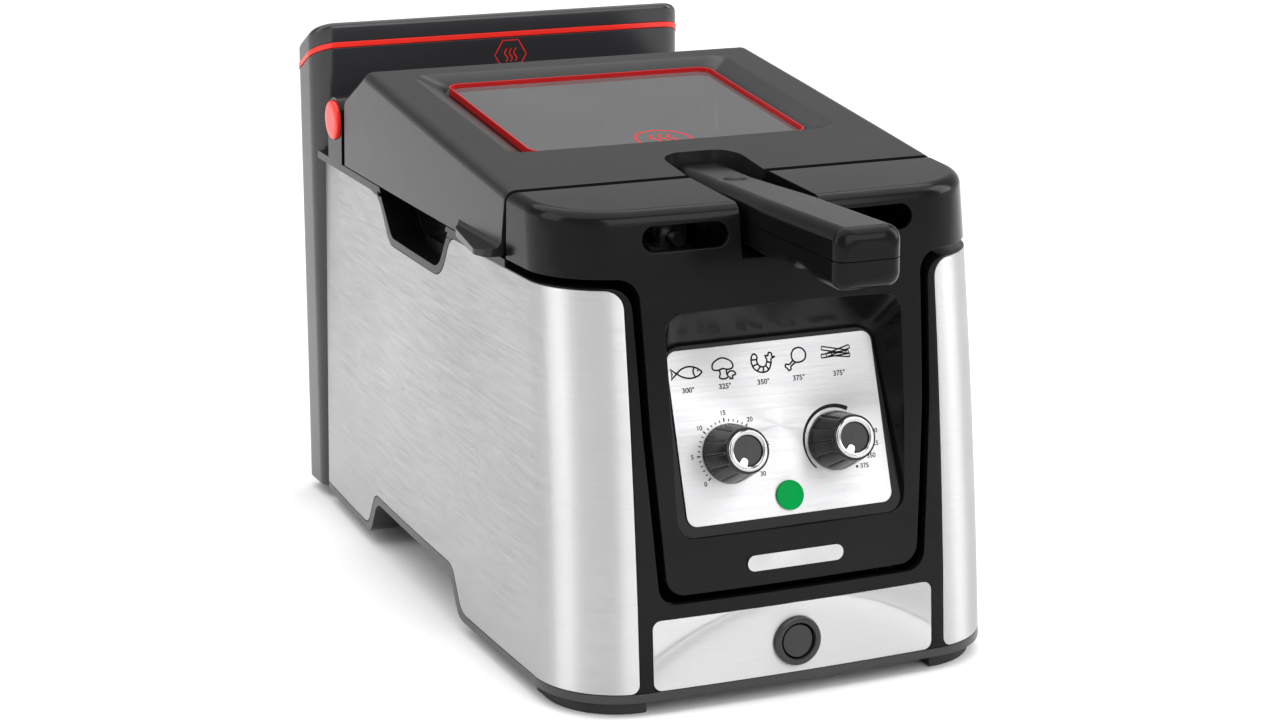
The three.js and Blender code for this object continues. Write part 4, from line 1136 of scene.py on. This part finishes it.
def dot(u, v, radius):
    return prism("Z", arc(u, v, radius, 0, 360, 20)[:-1], 0, INK)


def number(text, u, v, height, align="CENTER"):
    """A printed number, its digits as tall as height."""
    digit_share = 0.7
    letters = bpy.data.curves.new("number", "FONT")
    letters.body = text
    letters.size = height / digit_share
    letters.align_x = align
    letters.align_y = "CENTER"
    letters.extrude = INK / 2
    letters.offset = 0.03 * height
    holder = placed("number", letters)
    bpy.context.view_layer.update()
    mesh = evaluated_mesh(holder)
    bpy.data.objects.remove(holder)
    return moved(placed("number", mesh), at(u, v, INK / 2))


def timer_scale():
    """Minute ticks from 0 to 30, clockwise, with a number at every fifth."""
    zero, step = 222, -8.6
    parts = []
    for minute in range(31):
        turn = zero + step * minute
        outer, width = (18.9, 0.62) if minute % 5 else (19.6, 0.8)
        ends = [on_arc(-KNOB_X, KNOB_V, radius, turn) for radius in (17.5, outer)]
        parts.append(ribbon(ends, width))
        if minute % 5 == 0:
            parts.append(number(str(minute), *on_arc(-KNOB_X, KNOB_V, 22.3, turn), SCALE_DIGITS))
    return parts


def thermostat_scale():
    """An arc that widens from cool to hot, then four dots with their temperatures."""
    radius, steps = 19.2, 60
    rings = []
    for k, (u, v) in enumerate(arc(KNOB_X, KNOB_V, radius, 225, 60, steps)):
        point, outward = Vector((u, v)), Vector((u - KNOB_X, v - KNOB_V)).normalized()
        half = 0.4 + 0.8 * k / steps
        rings.append(printed_section(point - outward * half, point + outward * half))
    parts = [loft(rings)]
    for k, degrees in enumerate((300, 325, 350, 375)):
        u, v = on_arc(KNOB_X, KNOB_V, radius, 8 - 21 * k)
        parts.append(dot(u, v, 0.75))
        parts.append(number(str(degrees), u + 1.9, v, SCALE_DIGITS, "LEFT"))
    return parts


def sketch(paths, u, v, width=LINE, closed=False):
    """Printed lines drawn round (u, v) from paths about the origin."""
    return [ribbon([(u + p[0], v + p[1]) for p in path], width, closed) for path in paths]


def fish(u, v):
    back = smooth([(-6, 0.1), (-3, 2.3), (1.5, 3.3), (6, 2.1), (9, -0.2)])
    belly = smooth([(9, -0.2), (6.5, -2.2), (2, -3.1), (-2.5, -2.1), (-6, 0.1)])
    tail = [(-6, 0.1), (-9.6, 2.9), (-8.7, 0.1), (-9.6, -2.8), (-6, 0.1)]
    gill = smooth([(4.6, 2.6), (3.7, 0.2), (4.5, -2.4)])
    return sketch([back, belly, tail, gill], u, v) + [dot(u + 6.5, v + 0.6, 0.5)]


def mushroom(u, v):
    cap = smooth([(-6, -0.6), (-5.2, 2.8), (0, 5), (5.2, 2.8), (6, -0.6), (3, -1.5), (0, -0.8),
                  (-3, -1.5)], True)
    stem = smooth([(-2.2, -1.4), (-1.9, -3.4), (-2.5, -5.6), (0, -6.4), (2.5, -5.6), (1.9, -3.4),
                   (2.2, -1.4)])
    small = smooth([(2.2, -4), (4, -2.6), (6.4, -3), (7, -4.6), (5.2, -5.2), (5.2, -6.6), (3.6, -6.6),
                    (3.6, -5.4)])
    return sketch([cap], u, v, closed=True) + sketch([stem, small], u, v)


def shrimp(u, v):
    outer = smooth([(-6, 4.4), (-6.8, 1), (-5.4, -3), (-1.6, -5.2), (2.6, -4.6), (4.8, -1.2), (5.2, 1.6)])
    inner = smooth([(-2.8, 3.6), (-3.4, 1), (-2.4, -1.4), (0, -2.4), (1.8, -1.4), (2.8, 1.2)])
    head = smooth([(-6, 4.4), (-4.4, 5.2), (-2.8, 3.6)])
    tail = smooth([(2.8, 1.2), (2, 3.6), (3.6, 3.4), (4.2, 5), (5.8, 4.6), (6, 2.8), (7.6, 2.6), (5.2, 1.6)])
    rings = [((-6.7, 2), (-3.3, 2)), ((-6.2, -1.4), (-3, -0.4)), ((-3.8, -4.2), (-1.6, -2)),
             ((-0.4, -5.3), (0.2, -2.4)), ((3.1, -4.2), (1.6, -1.6)), ((4.9, -0.6), (2.5, 0.4))]
    return sketch([outer, inner, head, tail, *rings], u, v)


def drumstick(u, v):
    meat = smooth([(0.2, 5.4), (4.2, 5.8), (6.8, 3), (6, -0.6), (2.6, -2), (-0.8, -1.2), (-1.8, 2.2)], True)
    bone = smooth([(-0.9, -0.2), (-3.6, -2.6), (-5.8, -2.4), (-6.2, -3.8), (-5.2, -4.6), (-4.4, -6),
                   (-3, -5.2), (-2.8, -3.8), (0.6, -1.6)])
    return sketch([meat], u, v, closed=True) + sketch([bone], u, v)


def fries(u, v):
    """Four sticks laid across each other."""
    half_width, line = 0.95, 0.8
    sticks = ((-1, -0.8, 3, 17), (1, 0.8, 14, 15), (-1.5, 1.6, -13, 15), (2.5, -1.4, -8, 11))
    parts = []
    for x, y, turn, length in sticks:
        angle = math.radians(turn)
        along = Vector((math.cos(angle), math.sin(angle)))
        across = Vector((-along.y, along.x))
        corners = [Vector((x, y)) + along * length / 2 * a + across * half_width * b
                   for a, b in ((-1, -1), (1, -1), (1, 1), (-1, 1))]
        parts += sketch([with_midpoints(corners)], u, v, line, True)
    return parts


def make_panel_print():
    parts = timer_scale() + thermostat_scale()
    parts += fish(-51, 83) + mushroom(-29.6, 84) + shrimp(-5.5, 84) + drumstick(14, 84) + fries(39.7, 85)
    for u, degrees in ((-51.5, "300°"), (-29.6, "325°"), (-6.5, "350°"), (15, "375°"), (39.7, "375°")):
        parts.append(number(degrees, u, 73.5, FOOD_DIGITS))
    return moved(gathered(parts), PANEL_FRAME)


def steam_waves(u, v, size):
    """Three rising curls: a generic mark for hot steam."""
    curl = ((0, -0.5), (0.12, -0.22), (-0.1, 0.1), (0.06, 0.48))
    parts = []
    for k in (-1, 0, 1):
        middle = u + k * size * 0.36
        parts.append(ribbon(smooth([(middle + size * x, v + size * y) for x, y in curl]), size * 0.085))
    return parts


def make_window_mark():
    """A thin ring with steam curls, printed on the glass."""
    middle = 84
    ring = ribbon(arc(0, middle, 16.6, 0, 360, 72)[:-1], 1.2, True)
    bar = ribbon([(-7, middle - 9.5), (7, middle - 9.5)], 1.4)
    return moved(gathered([ring, bar] + steam_waves(0, middle + 1, 15)),
                 LID_FRAME @ at(0, 0, -WINDOW["depth"] + GAP + WINDOW["glass"]))


def make_tower_mark():
    """A thin six-sided outline with steam curls, printed on the tower's front."""
    corners = [Vector(p) for p in arc(0, 0, 11, 0, 300, 5)]
    marks = gathered([ribbon(with_midpoints(corners), 0.8, True)] + steam_waves(0, 0, 9))
    return moved(marks, at(5, 0) @ frame_at(TOWER["front"], 290.5, 0))


# ---- Materials ---------------------------------------------------------------------------------

class Look:
    """A short way to build one material's node tree. Scales are repeats per metre, and depths millimetres."""

    def __init__(self, name):
        self.material = bpy.data.materials.new(name)
        self.material.use_nodes = True
        self.tree = self.material.node_tree
        self.shader = self.tree.nodes["Principled BSDF"]
        self.coordinates = self.add("ShaderNodeTexCoord").outputs["Object"]

    def add(self, kind, **values):
        node = self.tree.nodes.new(kind)
        for name, value in values.items():
            setattr(node, name, value)
        return node

    def link(self, source, node, socket):
        self.tree.links.new(source, node.inputs[socket])

    def texture(self, kind, scale, output, **inputs):
        """A texture over the piece's own coordinates, stretched by an (x, y, z) scale."""
        mapping = self.add("ShaderNodeMapping")
        mapping.inputs["Scale"].default_value = scale
        self.link(self.coordinates, mapping, "Vector")
        node = self.add(kind)
        for name, value in inputs.items():
            node.inputs[name].default_value = value
        self.link(mapping.outputs["Vector"], node, "Vector")
        return node.outputs[output]

    def noise(self, scale, detail=3, roughness=0.55):
        return self.texture("ShaderNodeTexNoise", scale, "Fac", Scale=1, Detail=detail, Roughness=roughness)

    def cells(self, scale):
        return self.texture("ShaderNodeTexVoronoi", scale, "Distance", Scale=1)

    def spread(self, source, low, high, from_low, from_high):
        """source mapped from one range to another."""
        node = self.add("ShaderNodeMapRange")
        ranges = (("From Min", from_low), ("From Max", from_high), ("To Min", low), ("To Max", high))
        for name, value in ranges:
            node.inputs[name].default_value = value
        self.link(source, node, "Value")
        return node.outputs["Result"]

    def sum(self, first, second, weight):
        """The first value and a share of the second."""
        node = self.add("ShaderNodeMath", operation="MULTIPLY_ADD")
        self.link(second, node, 0)
        node.inputs[1].default_value = weight
        self.link(first, node, 2)
        return node.outputs["Value"]

    def colour(self, source, dark, light, from_low=0.3, from_high=0.7):
        """Runs the base colour from dark to light as source rises."""
        node = self.add("ShaderNodeMix", data_type="RGBA")
        node.inputs[6].default_value = (*dark, 1)
        node.inputs[7].default_value = (*light, 1)
        self.link(self.spread(source, 0, 1, from_low, from_high), node, 0)
        self.link(node.outputs[2], self.shader, "Base Color")

    def gloss(self, source, low, high, from_low=0.3, from_high=0.7):
        """Runs the roughness from low to high as source rises."""
        self.link(self.spread(source, low, high, from_low, from_high), self.shader, "Roughness")

    def bump(self, height, depth, strength=1.0):
        node = self.add("ShaderNodeBump")
        node.inputs["Distance"].default_value = depth * MM
        node.inputs["Strength"].default_value = strength
        self.link(height, node, "Height")
        self.link(node.outputs["Normal"], self.shader, "Normal")

    def set(self, **values):
        for name, value in values.items():
            self.shader.inputs[name.replace("_", " ")].default_value = value


def plastic(name, dark, light, roughness, specular=0.5, grain=0.02):
    """Moulded plastic: a fine spark-eroded grain, faint flow marks and a slightly uneven gloss."""
    look = Look(name)
    pores = look.noise((1800, 1800, 1800), 2)
    haze = look.noise((60, 60, 60), 5)
    look.colour(look.noise((9, 9, 22), 4), dark, light)
    look.gloss(look.sum(haze, pores, 0.3), roughness * 0.94, roughness * 1.08, 0.35, 0.95)
    look.bump(look.sum(pores, haze, 0.25), grain)
    look.set(Specular_IOR_Level=specular, IOR=1.5)
    return look.material


def brushed(name, dark, light, roughness, along=(24, 24, 700)):
    """Brushed sheet: long fine scratches along the sheet, in its colour, gloss and surface."""
    look = Look(name)
    lines = look.sum(look.noise(along, 2), look.noise(tuple(2.7 * c for c in along), 3, 0.6), 0.7)
    clouds = look.noise((7, 7, 7), 3)
    look.colour(lines, dark, light, 0.55, 1.15)
    look.gloss(look.sum(lines, clouds, 0.5), roughness * 0.8, roughness * 1.25, 0.7, 1.5)
    look.bump(lines, 0.01)
    look.set(Metallic=1, Anisotropic=0.95, Anisotropic_Rotation=0.25)
    tangent = look.add("ShaderNodeTangent", direction_type="RADIAL", axis="Z")
    look.link(tangent.outputs["Tangent"], look.shader, "Tangent")
    return look.material


def metal(name, dark, light, roughness, marks=0.001):
    """Plain bright metal with a faint waviness and fine handling marks."""
    look = Look(name)
    clouds = look.noise((40, 40, 40), 4)
    scratches = look.noise((700, 90, 700), 3, 0.7)
    look.colour(clouds, dark, light)
    look.gloss(scratches, roughness * 0.88, roughness * 1.15)
    look.bump(look.sum(clouds, scratches, 0.4), marks)
    look.set(Metallic=1)
    return look.material


def glass(name, tint, roughness=0.03):
    """Tinted glass with the slight waviness of a pressed pane."""
    look = Look(name)
    waves = look.noise((14, 14, 14), 2)
    look.colour(waves, tuple(0.9 * c for c in tint), tint)
    look.gloss(waves, roughness * 0.6, roughness * 1.6)
    look.bump(waves, 0.002)
    look.set(Transmission_Weight=0.75, IOR=1.5)
    return look.material


def rubber(name, dark, light):
    """Matt rubber with a fine grain and a little dust."""
    look = Look(name)
    grain = look.noise((900, 900, 900), 3)
    look.colour(look.noise((50, 50, 50), 4), dark, light)
    look.gloss(grain, 0.6, 0.85)
    look.bump(grain, 0.04)
    look.set(Specular_IOR_Level=0.35)
    return look.material


def foam(name, dark, light):
    """Open-cell foam: round pores of about a millimetre with thin walls between them, the pores darkened with
    painted shade.
    """
    look = Look(name)
    depth = look.sum(look.cells((900, 900, 900)), look.cells((380, 380, 380)), 0.7)
    # Painted shade: the base colour runs dark into each pore and lighter on the walls between them.
    look.colour(depth, dark, light, 0.25, 1.1)
    look.gloss(depth, 0.8, 0.95, 0.2, 1.2)
    look.bump(depth, 0.5, 0.9)
    look.set(Specular_IOR_Level=0.2)
    return look.material


def ink(name, dark, light):
    """Screen-printed ink with slightly uneven cover."""
    look = Look(name)
    cover = look.noise((500, 500, 500), 3)
    look.colour(cover, dark, light)
    look.gloss(cover, 0.45, 0.65)
    look.bump(cover, 0.004)
    look.set(Specular_IOR_Level=0.08)
    return look.material


LID_PLASTIC = plastic("lid_plastic", (0.010, 0.010, 0.011), (0.014, 0.014, 0.015), 0.25, 0.25, 0.008)
HEAD_PLASTIC = plastic("head_plastic", (0.0035, 0.0035, 0.004), (0.006, 0.006, 0.0065), 0.16, 0.14, 0.008)
HANDLE_PLASTIC = plastic("handle_plastic", (0.003, 0.003, 0.0035), (0.005, 0.005, 0.0055), 0.2, 0.12, 0.01)
TRIM_PLASTIC = plastic("trim_plastic", (0.018, 0.018, 0.019), (0.026, 0.026, 0.027), 0.3, 0.45)
TOWER_PLASTIC = plastic("tower_plastic", (0.016, 0.016, 0.018), (0.022, 0.022, 0.025), 0.22)
SWITCH_PLASTIC = plastic("switch_plastic", (0.012, 0.012, 0.013), (0.018, 0.018, 0.019), 0.25, 0.45)
KNOB_PLASTIC = plastic("knob_plastic", (0.010, 0.010, 0.011), (0.016, 0.016, 0.0175), 0.2, 0.3, 0.01)
WINDOW_RED = plastic("window_red", (0.40, 0.007, 0.008), (0.48, 0.010, 0.011), 0.3, 0.2, 0.006)
RED_PLASTIC = plastic("red_plastic", (0.78, 0.020, 0.012), (0.86, 0.028, 0.018), 0.22, 0.4, 0.006)
STEEL = brushed("brushed_steel", (0.54, 0.54, 0.54), (0.60, 0.60, 0.60), 0.45)
PANEL_STEEL = brushed("panel_steel", (0.60, 0.60, 0.61), (0.72, 0.72, 0.73), 0.45, (22, 900, 900))
POLISHED = metal("polished_metal", (0.46, 0.46, 0.46), (0.55, 0.55, 0.56), 0.22)
BOWL_STEEL = metal("bowl_steel", (0.55, 0.55, 0.55), (0.68, 0.68, 0.67), 0.24)
WIRE_STEEL = metal("wire_steel", (0.62, 0.62, 0.62), (0.74, 0.74, 0.74), 0.2)
ELEMENT_STEEL = metal("element_steel", (0.07, 0.07, 0.07), (0.13, 0.125, 0.12), 0.4, 0.003)
SMOKED_GLASS = glass("smoked_glass", (0.30, 0.30, 0.31))
GREEN_LENS = plastic("green_lens", (0.0, 0.25, 0.05), (0.0, 0.29, 0.06), 0.3, 0.04, 0.003)
BLACK_RUBBER = rubber("black_rubber", (0.016, 0.016, 0.016), (0.030, 0.030, 0.030))
SEAL_RUBBER = rubber("seal_rubber", (0.05, 0.05, 0.05), (0.08, 0.08, 0.08))
INSULATOR = plastic("insulator", (0.30, 0.27, 0.21), (0.38, 0.34, 0.27), 0.5, 0.4, 0.03)
FOAM = foam("filter_foam", (0.010, 0.010, 0.010), (0.075, 0.075, 0.078))
CARBON = rubber("carbon_bed", (0.012, 0.012, 0.013), (0.03, 0.03, 0.03))
BLACK_INK = ink("black_ink", (0.008, 0.008, 0.008), (0.016, 0.016, 0.016))
RED_INK = ink("red_ink", (0.60, 0.012, 0.010), (0.70, 0.020, 0.016))


# ---- Pieces ------------------------------------------------------------------------------------

def is_sharp(edge):
    return len(edge.link_faces) == 2 and edge.calc_face_angle(0) > math.radians(SHARP_ANGLE)


def merge_slivers(shape, rounds=3):
    """Dissolves flat edges that leave a sharp edge almost along it: a bevel would slide along them."""
    narrow, flat = math.radians(SLIVER_ANGLE), math.radians(FACET_ANGLE)
    for _ in range(rounds):
        slivers = set()
        for vertex in shape.verts:
            ways = [(e.other_vert(vertex).co - vertex.co).normalized()
                    for e in vertex.link_edges if is_sharp(e)]
            for edge in vertex.link_edges if ways else ():
                if len(edge.link_faces) != 2 or edge.calc_face_angle(0) > flat:
                    continue
                way = (edge.other_vert(vertex).co - vertex.co).normalized()
                if any(way.angle(other) < narrow for other in ways):
                    slivers.add(edge)
        if not slivers:
            return
        bmesh.ops.dissolve_edges(shape, edges=list(slivers), use_verts=False)
        shape.normal_update()


def points_along(edges, step=1):
    """A search tree of points about a step apart along edges."""
    points = []
    for edge in edges:
        start, end = (vertex.co.copy() for vertex in edge.verts)
        count = max(1, round((end - start).length / step))
        points += [start.lerp(end, k / count) for k in range(count + 1)]
    tree = KDTree(len(points))
    for i, point in enumerate(points):
        tree.insert(point, i)
    tree.balance()
    return tree


def bevelled(thing, width):
    """Small rounds on every sharp edge: a point that slides too far from its edge is drawn back to it."""
    shape = bmesh.new()
    shape.from_mesh(thing.data)
    bmesh.ops.remove_doubles(shape, verts=shape.verts, dist=0.004)
    dissolve_flat(shape)
    if width:
        merge_slivers(shape)
        sharp = [e for e in shape.edges if is_sharp(e)]
        nearby = points_along(sharp)
        made = bmesh.ops.bevel(shape, geom=sharp, offset=width, segments=2, affect="EDGES", profile=0.5,
                               clamp_overlap=False)
        for vertex in made["verts"]:
            place, _, distance = nearby.find(vertex.co)
            if distance > BEVEL_REACH * width:
                vertex.co = place
    shape.to_mesh(thing.data)
    shape.free()


def shaded(thing):
    """Smooth shading that keeps flat faces flat: each corner's normal follows its largest faces."""
    thing.data.shade_smooth()
    thing.data.set_sharp_from_angle(angle=math.radians(SMOOTH_ANGLE))
    modifier = thing.modifiers.new("normals", "WEIGHTED_NORMAL")
    modifier.mode = "FACE_AREA"
    modifier.weight = 80
    modifier.keep_sharp = True
    apply_modifiers(thing)


def piece(thing, name, material, body, nodes=(), bevel=None):
    """Turns a solid into a piece with its edges, material, body and the CAD nodes that it stands for."""
    if bevel is not None:
        bevelled(thing, bevel)
    thing.data.transform(TO_FRAME)
    shaded(thing)
    thing.name = name
    thing.data.name = name
    thing.data.materials.clear()
    thing.data.materials.append(material)
    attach(thing, body)
    if nodes:
        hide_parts(*nodes)
    return thing


def stands_for(node, thing, material, bevel):
    """A fine piece that takes one CAD node's place, with its body."""
    return piece(thing, node + "_fine", material, BODY_OF[node], (node,), bevel)


def pair(node, make, material, bevel):
    """A right-hand piece and its mirrored twin."""
    for side, thing in zip(("_left", "_right"), both_sides(make())):
        stands_for(node + side, thing, material, bevel)


def make_pieces():
    pair("side_panel", make_skin, STEEL, 0.3)
    pair("front_foot", make_front_foot, BLACK_RUBBER, 0)
    pair("rear_foot", make_rear_foot, BLACK_RUBBER, 0)
    pair("lid_release_button", make_release_button, RED_PLASTIC, 0)
    pair("lid_hinge_pin", make_hinge_pin, POLISHED, 0)
    pair("lid_pin_spring", make_pin_spring, POLISHED, None)
    stands_for("body_housing", make_housing(), HEAD_PLASTIC, 0.4)
    stands_for("base_tray", make_base_tray(), TRIM_PLASTIC, 0.5)
    stands_for("front_strip", make_front_strip(), STEEL, 0.3)
    stands_for("power_switch_bezel", make_bezel(), SWITCH_PLASTIC, 0)
    stands_for("power_switch_rocker", make_rocker(), SWITCH_PLASTIC, 0.25)
    stands_for("control_head", make_head(), HEAD_PLASTIC, 0.4)
    stands_for("control_panel_plate", make_panel_plate(), PANEL_STEEL, 0.2)
    stands_for("ready_light_lens", make_lens(), GREEN_LENS, 0)
    for name, x in (("timer", -KNOB_X), ("thermostat", KNOB_X)):
        stands_for(name + "_knob", make_knob(x), KNOB_PLASTIC, 0)
        stands_for(name + "_knob_ring", make_knob_ring(x), POLISHED, 0)
    stands_for("front_badge", make_badge(), POLISHED, 0.25)
    stands_for("heating_element", make_element(), ELEMENT_STEEL, 0)
    stands_for("oil_bowl", make_bowl(), BOWL_STEEL, 0)
    stands_for("basket", make_basket(), WIRE_STEEL, None)
    stands_for("basket_bracket", make_bracket(), WIRE_STEEL, 0.3)
    stands_for("handle_upper", make_handle_upper(), HANDLE_PLASTIC, 0.4)
    stands_for("handle_lower", make_handle_lower(), HANDLE_PLASTIC, 0.4)
    stands_for("handle_release_button", make_handle_button(), HANDLE_PLASTIC, 0)
    stands_for("lid_shell", make_lid_shell(), LID_PLASTIC, 0.4)
    stands_for("window_glass", make_glass(), SMOKED_GLASS, 0.2)
    stands_for("window_trim", make_window_trim(), WINDOW_RED, 0.25)
    stands_for("lid_liner", make_liner(), BOWL_STEEL, 0.2)
    stands_for("lid_seal", make_lid_seal(), SEAL_RUBBER, 0.5)
    stands_for("rear_tower", make_tower(), TOWER_PLASTIC, 0.4)
    stands_for("tower_trim_ring", make_trim_ring(), RED_PLASTIC, 0.3)
    stands_for("filter_cover", make_cover(), TOWER_PLASTIC, 0.3)
    stands_for("filter_grille", make_grille(), TRIM_PLASTIC, 0.2)
    stands_for("foam_filter", make_foam(), FOAM, None)
    stands_for("carbon_filter", make_carbon(), CARBON, 0.4)
    stands_for("cord_inlet_gland", make_gland(), TRIM_PLASTIC, 0)
    for i, (x, y) in enumerate(SCREWS):
        stands_for(f"base_screw_{i + 1}", make_screw(x, y), POLISHED, 0)
    piece(make_panel_print(), "panel_print", BLACK_INK, BODY_OF["control_panel_plate"])
    piece(make_window_mark(), "window_mark", RED_INK, BODY_OF["window_glass"])
    piece(make_tower_mark(), "tower_mark", RED_INK, BODY_OF["rear_tower"])


def dress_cad_nodes():
    """The CAD nodes that stay get the same finishes as the pieces round them."""
    finishes = dict(timer_mechanism=INSULATOR, thermostat_body=INSULATOR, terminal_block=INSULATOR,
                    head_microswitch=SWITCH_PLASTIC, element_mount=BOWL_STEEL, thermostat_probe=POLISHED)
    for node, material in finishes.items():
        for slot in frame["nodes"][node].material_slots:
            slot.material = material


# ---- Studio ------------------------------------------------------------------------------------

FLOOR_SIZE = 12
SKY = ((0.0, 0.95), (0.12, 0.6), (0.35, 0.35), (1.0, 0.5))
SKY_STRENGTH = 1.1
MIDDLE = (0, 0, 0.15)
LIGHTS = (("overhead", (0, 1.2, 4.2), (0, 1.2, 0), (7, 7), 265),
          ("left", (-2.6, 0.1, 1.5), MIDDLE, (1.5, 2.2), 28),
          ("front", (0.4, -2.7, 1.7), MIDDLE, (2.7, 2.0), 49),
          ("right", (2.6, -0.5, 1.5), MIDDLE, (1.3, 2.2), 36))
CAMERA = dict(place=(-0.69137, -1.58088, 0.59716), tilt=75.17, turn=-23.48, lens=83.67)


def make_floor():
    bpy.ops.mesh.primitive_grid_add(x_subdivisions=2, y_subdivisions=2, size=FLOOR_SIZE)
    floor = bpy.context.object
    floor.name = "floor"
    look = Look("floor_paper")
    look.colour(look.noise((700, 700, 700), 3), (0.86, 0.86, 0.86), (0.9, 0.9, 0.9))
    look.set(Roughness=0.9, Specular_IOR_Level=0.2)
    floor.data.materials.append(look.material)


def area_light(name, place, target, size, power):
    light = bpy.data.lights.new(name, "AREA")
    light.shape = "RECTANGLE"
    light.size, light.size_y = size
    light.energy = power
    holder = placed(name, light)
    holder.location = place
    holder.rotation_euler = (Vector(target) - Vector(place)).to_track_quat("-Z", "Y").to_euler()


def make_world():
    """A white studio: bright low down, softer overhead."""
    world = bpy.data.worlds.new("studio")
    world.use_nodes = True
    tree = world.node_tree
    background = tree.nodes["Background"]
    direction = tree.nodes.new("ShaderNodeTexCoord")
    parts = tree.nodes.new("ShaderNodeSeparateXYZ")
    ramp = tree.nodes.new("ShaderNodeValToRGB")
    tree.links.new(direction.outputs["Generated"], parts.inputs["Vector"])
    tree.links.new(parts.outputs["Z"], ramp.inputs["Fac"])
    tree.links.new(ramp.outputs["Color"], background.inputs["Color"])
    stops = ramp.color_ramp.elements
    while len(stops) < len(SKY):
        stops.new(0.5)
    for stop, (height, grey) in zip(stops, SKY):
        stop.position = height
        stop.color = (grey, grey, grey, 1)
    background.inputs["Strength"].default_value = SKY_STRENGTH
    bpy.context.scene.world = world


def make_camera():
    """The photographer's place: a little left of the front, and slightly above."""
    camera = bpy.data.cameras.new("camera")
    camera.sensor_width = 36
    camera.lens = CAMERA["lens"]
    camera.clip_start, camera.clip_end = 0.05, 50
    holder = placed("camera", camera)
    holder.location = CAMERA["place"]
    holder.rotation_euler = (math.radians(CAMERA["tilt"]), 0, math.radians(CAMERA["turn"]))
    bpy.context.scene.camera = holder


make_pieces()
dress_cad_nodes()
make_floor()
make_world()
for light in LIGHTS:
    area_light(*light)
make_camera()
bpy.context.scene.view_settings.view_transform = "Standard"
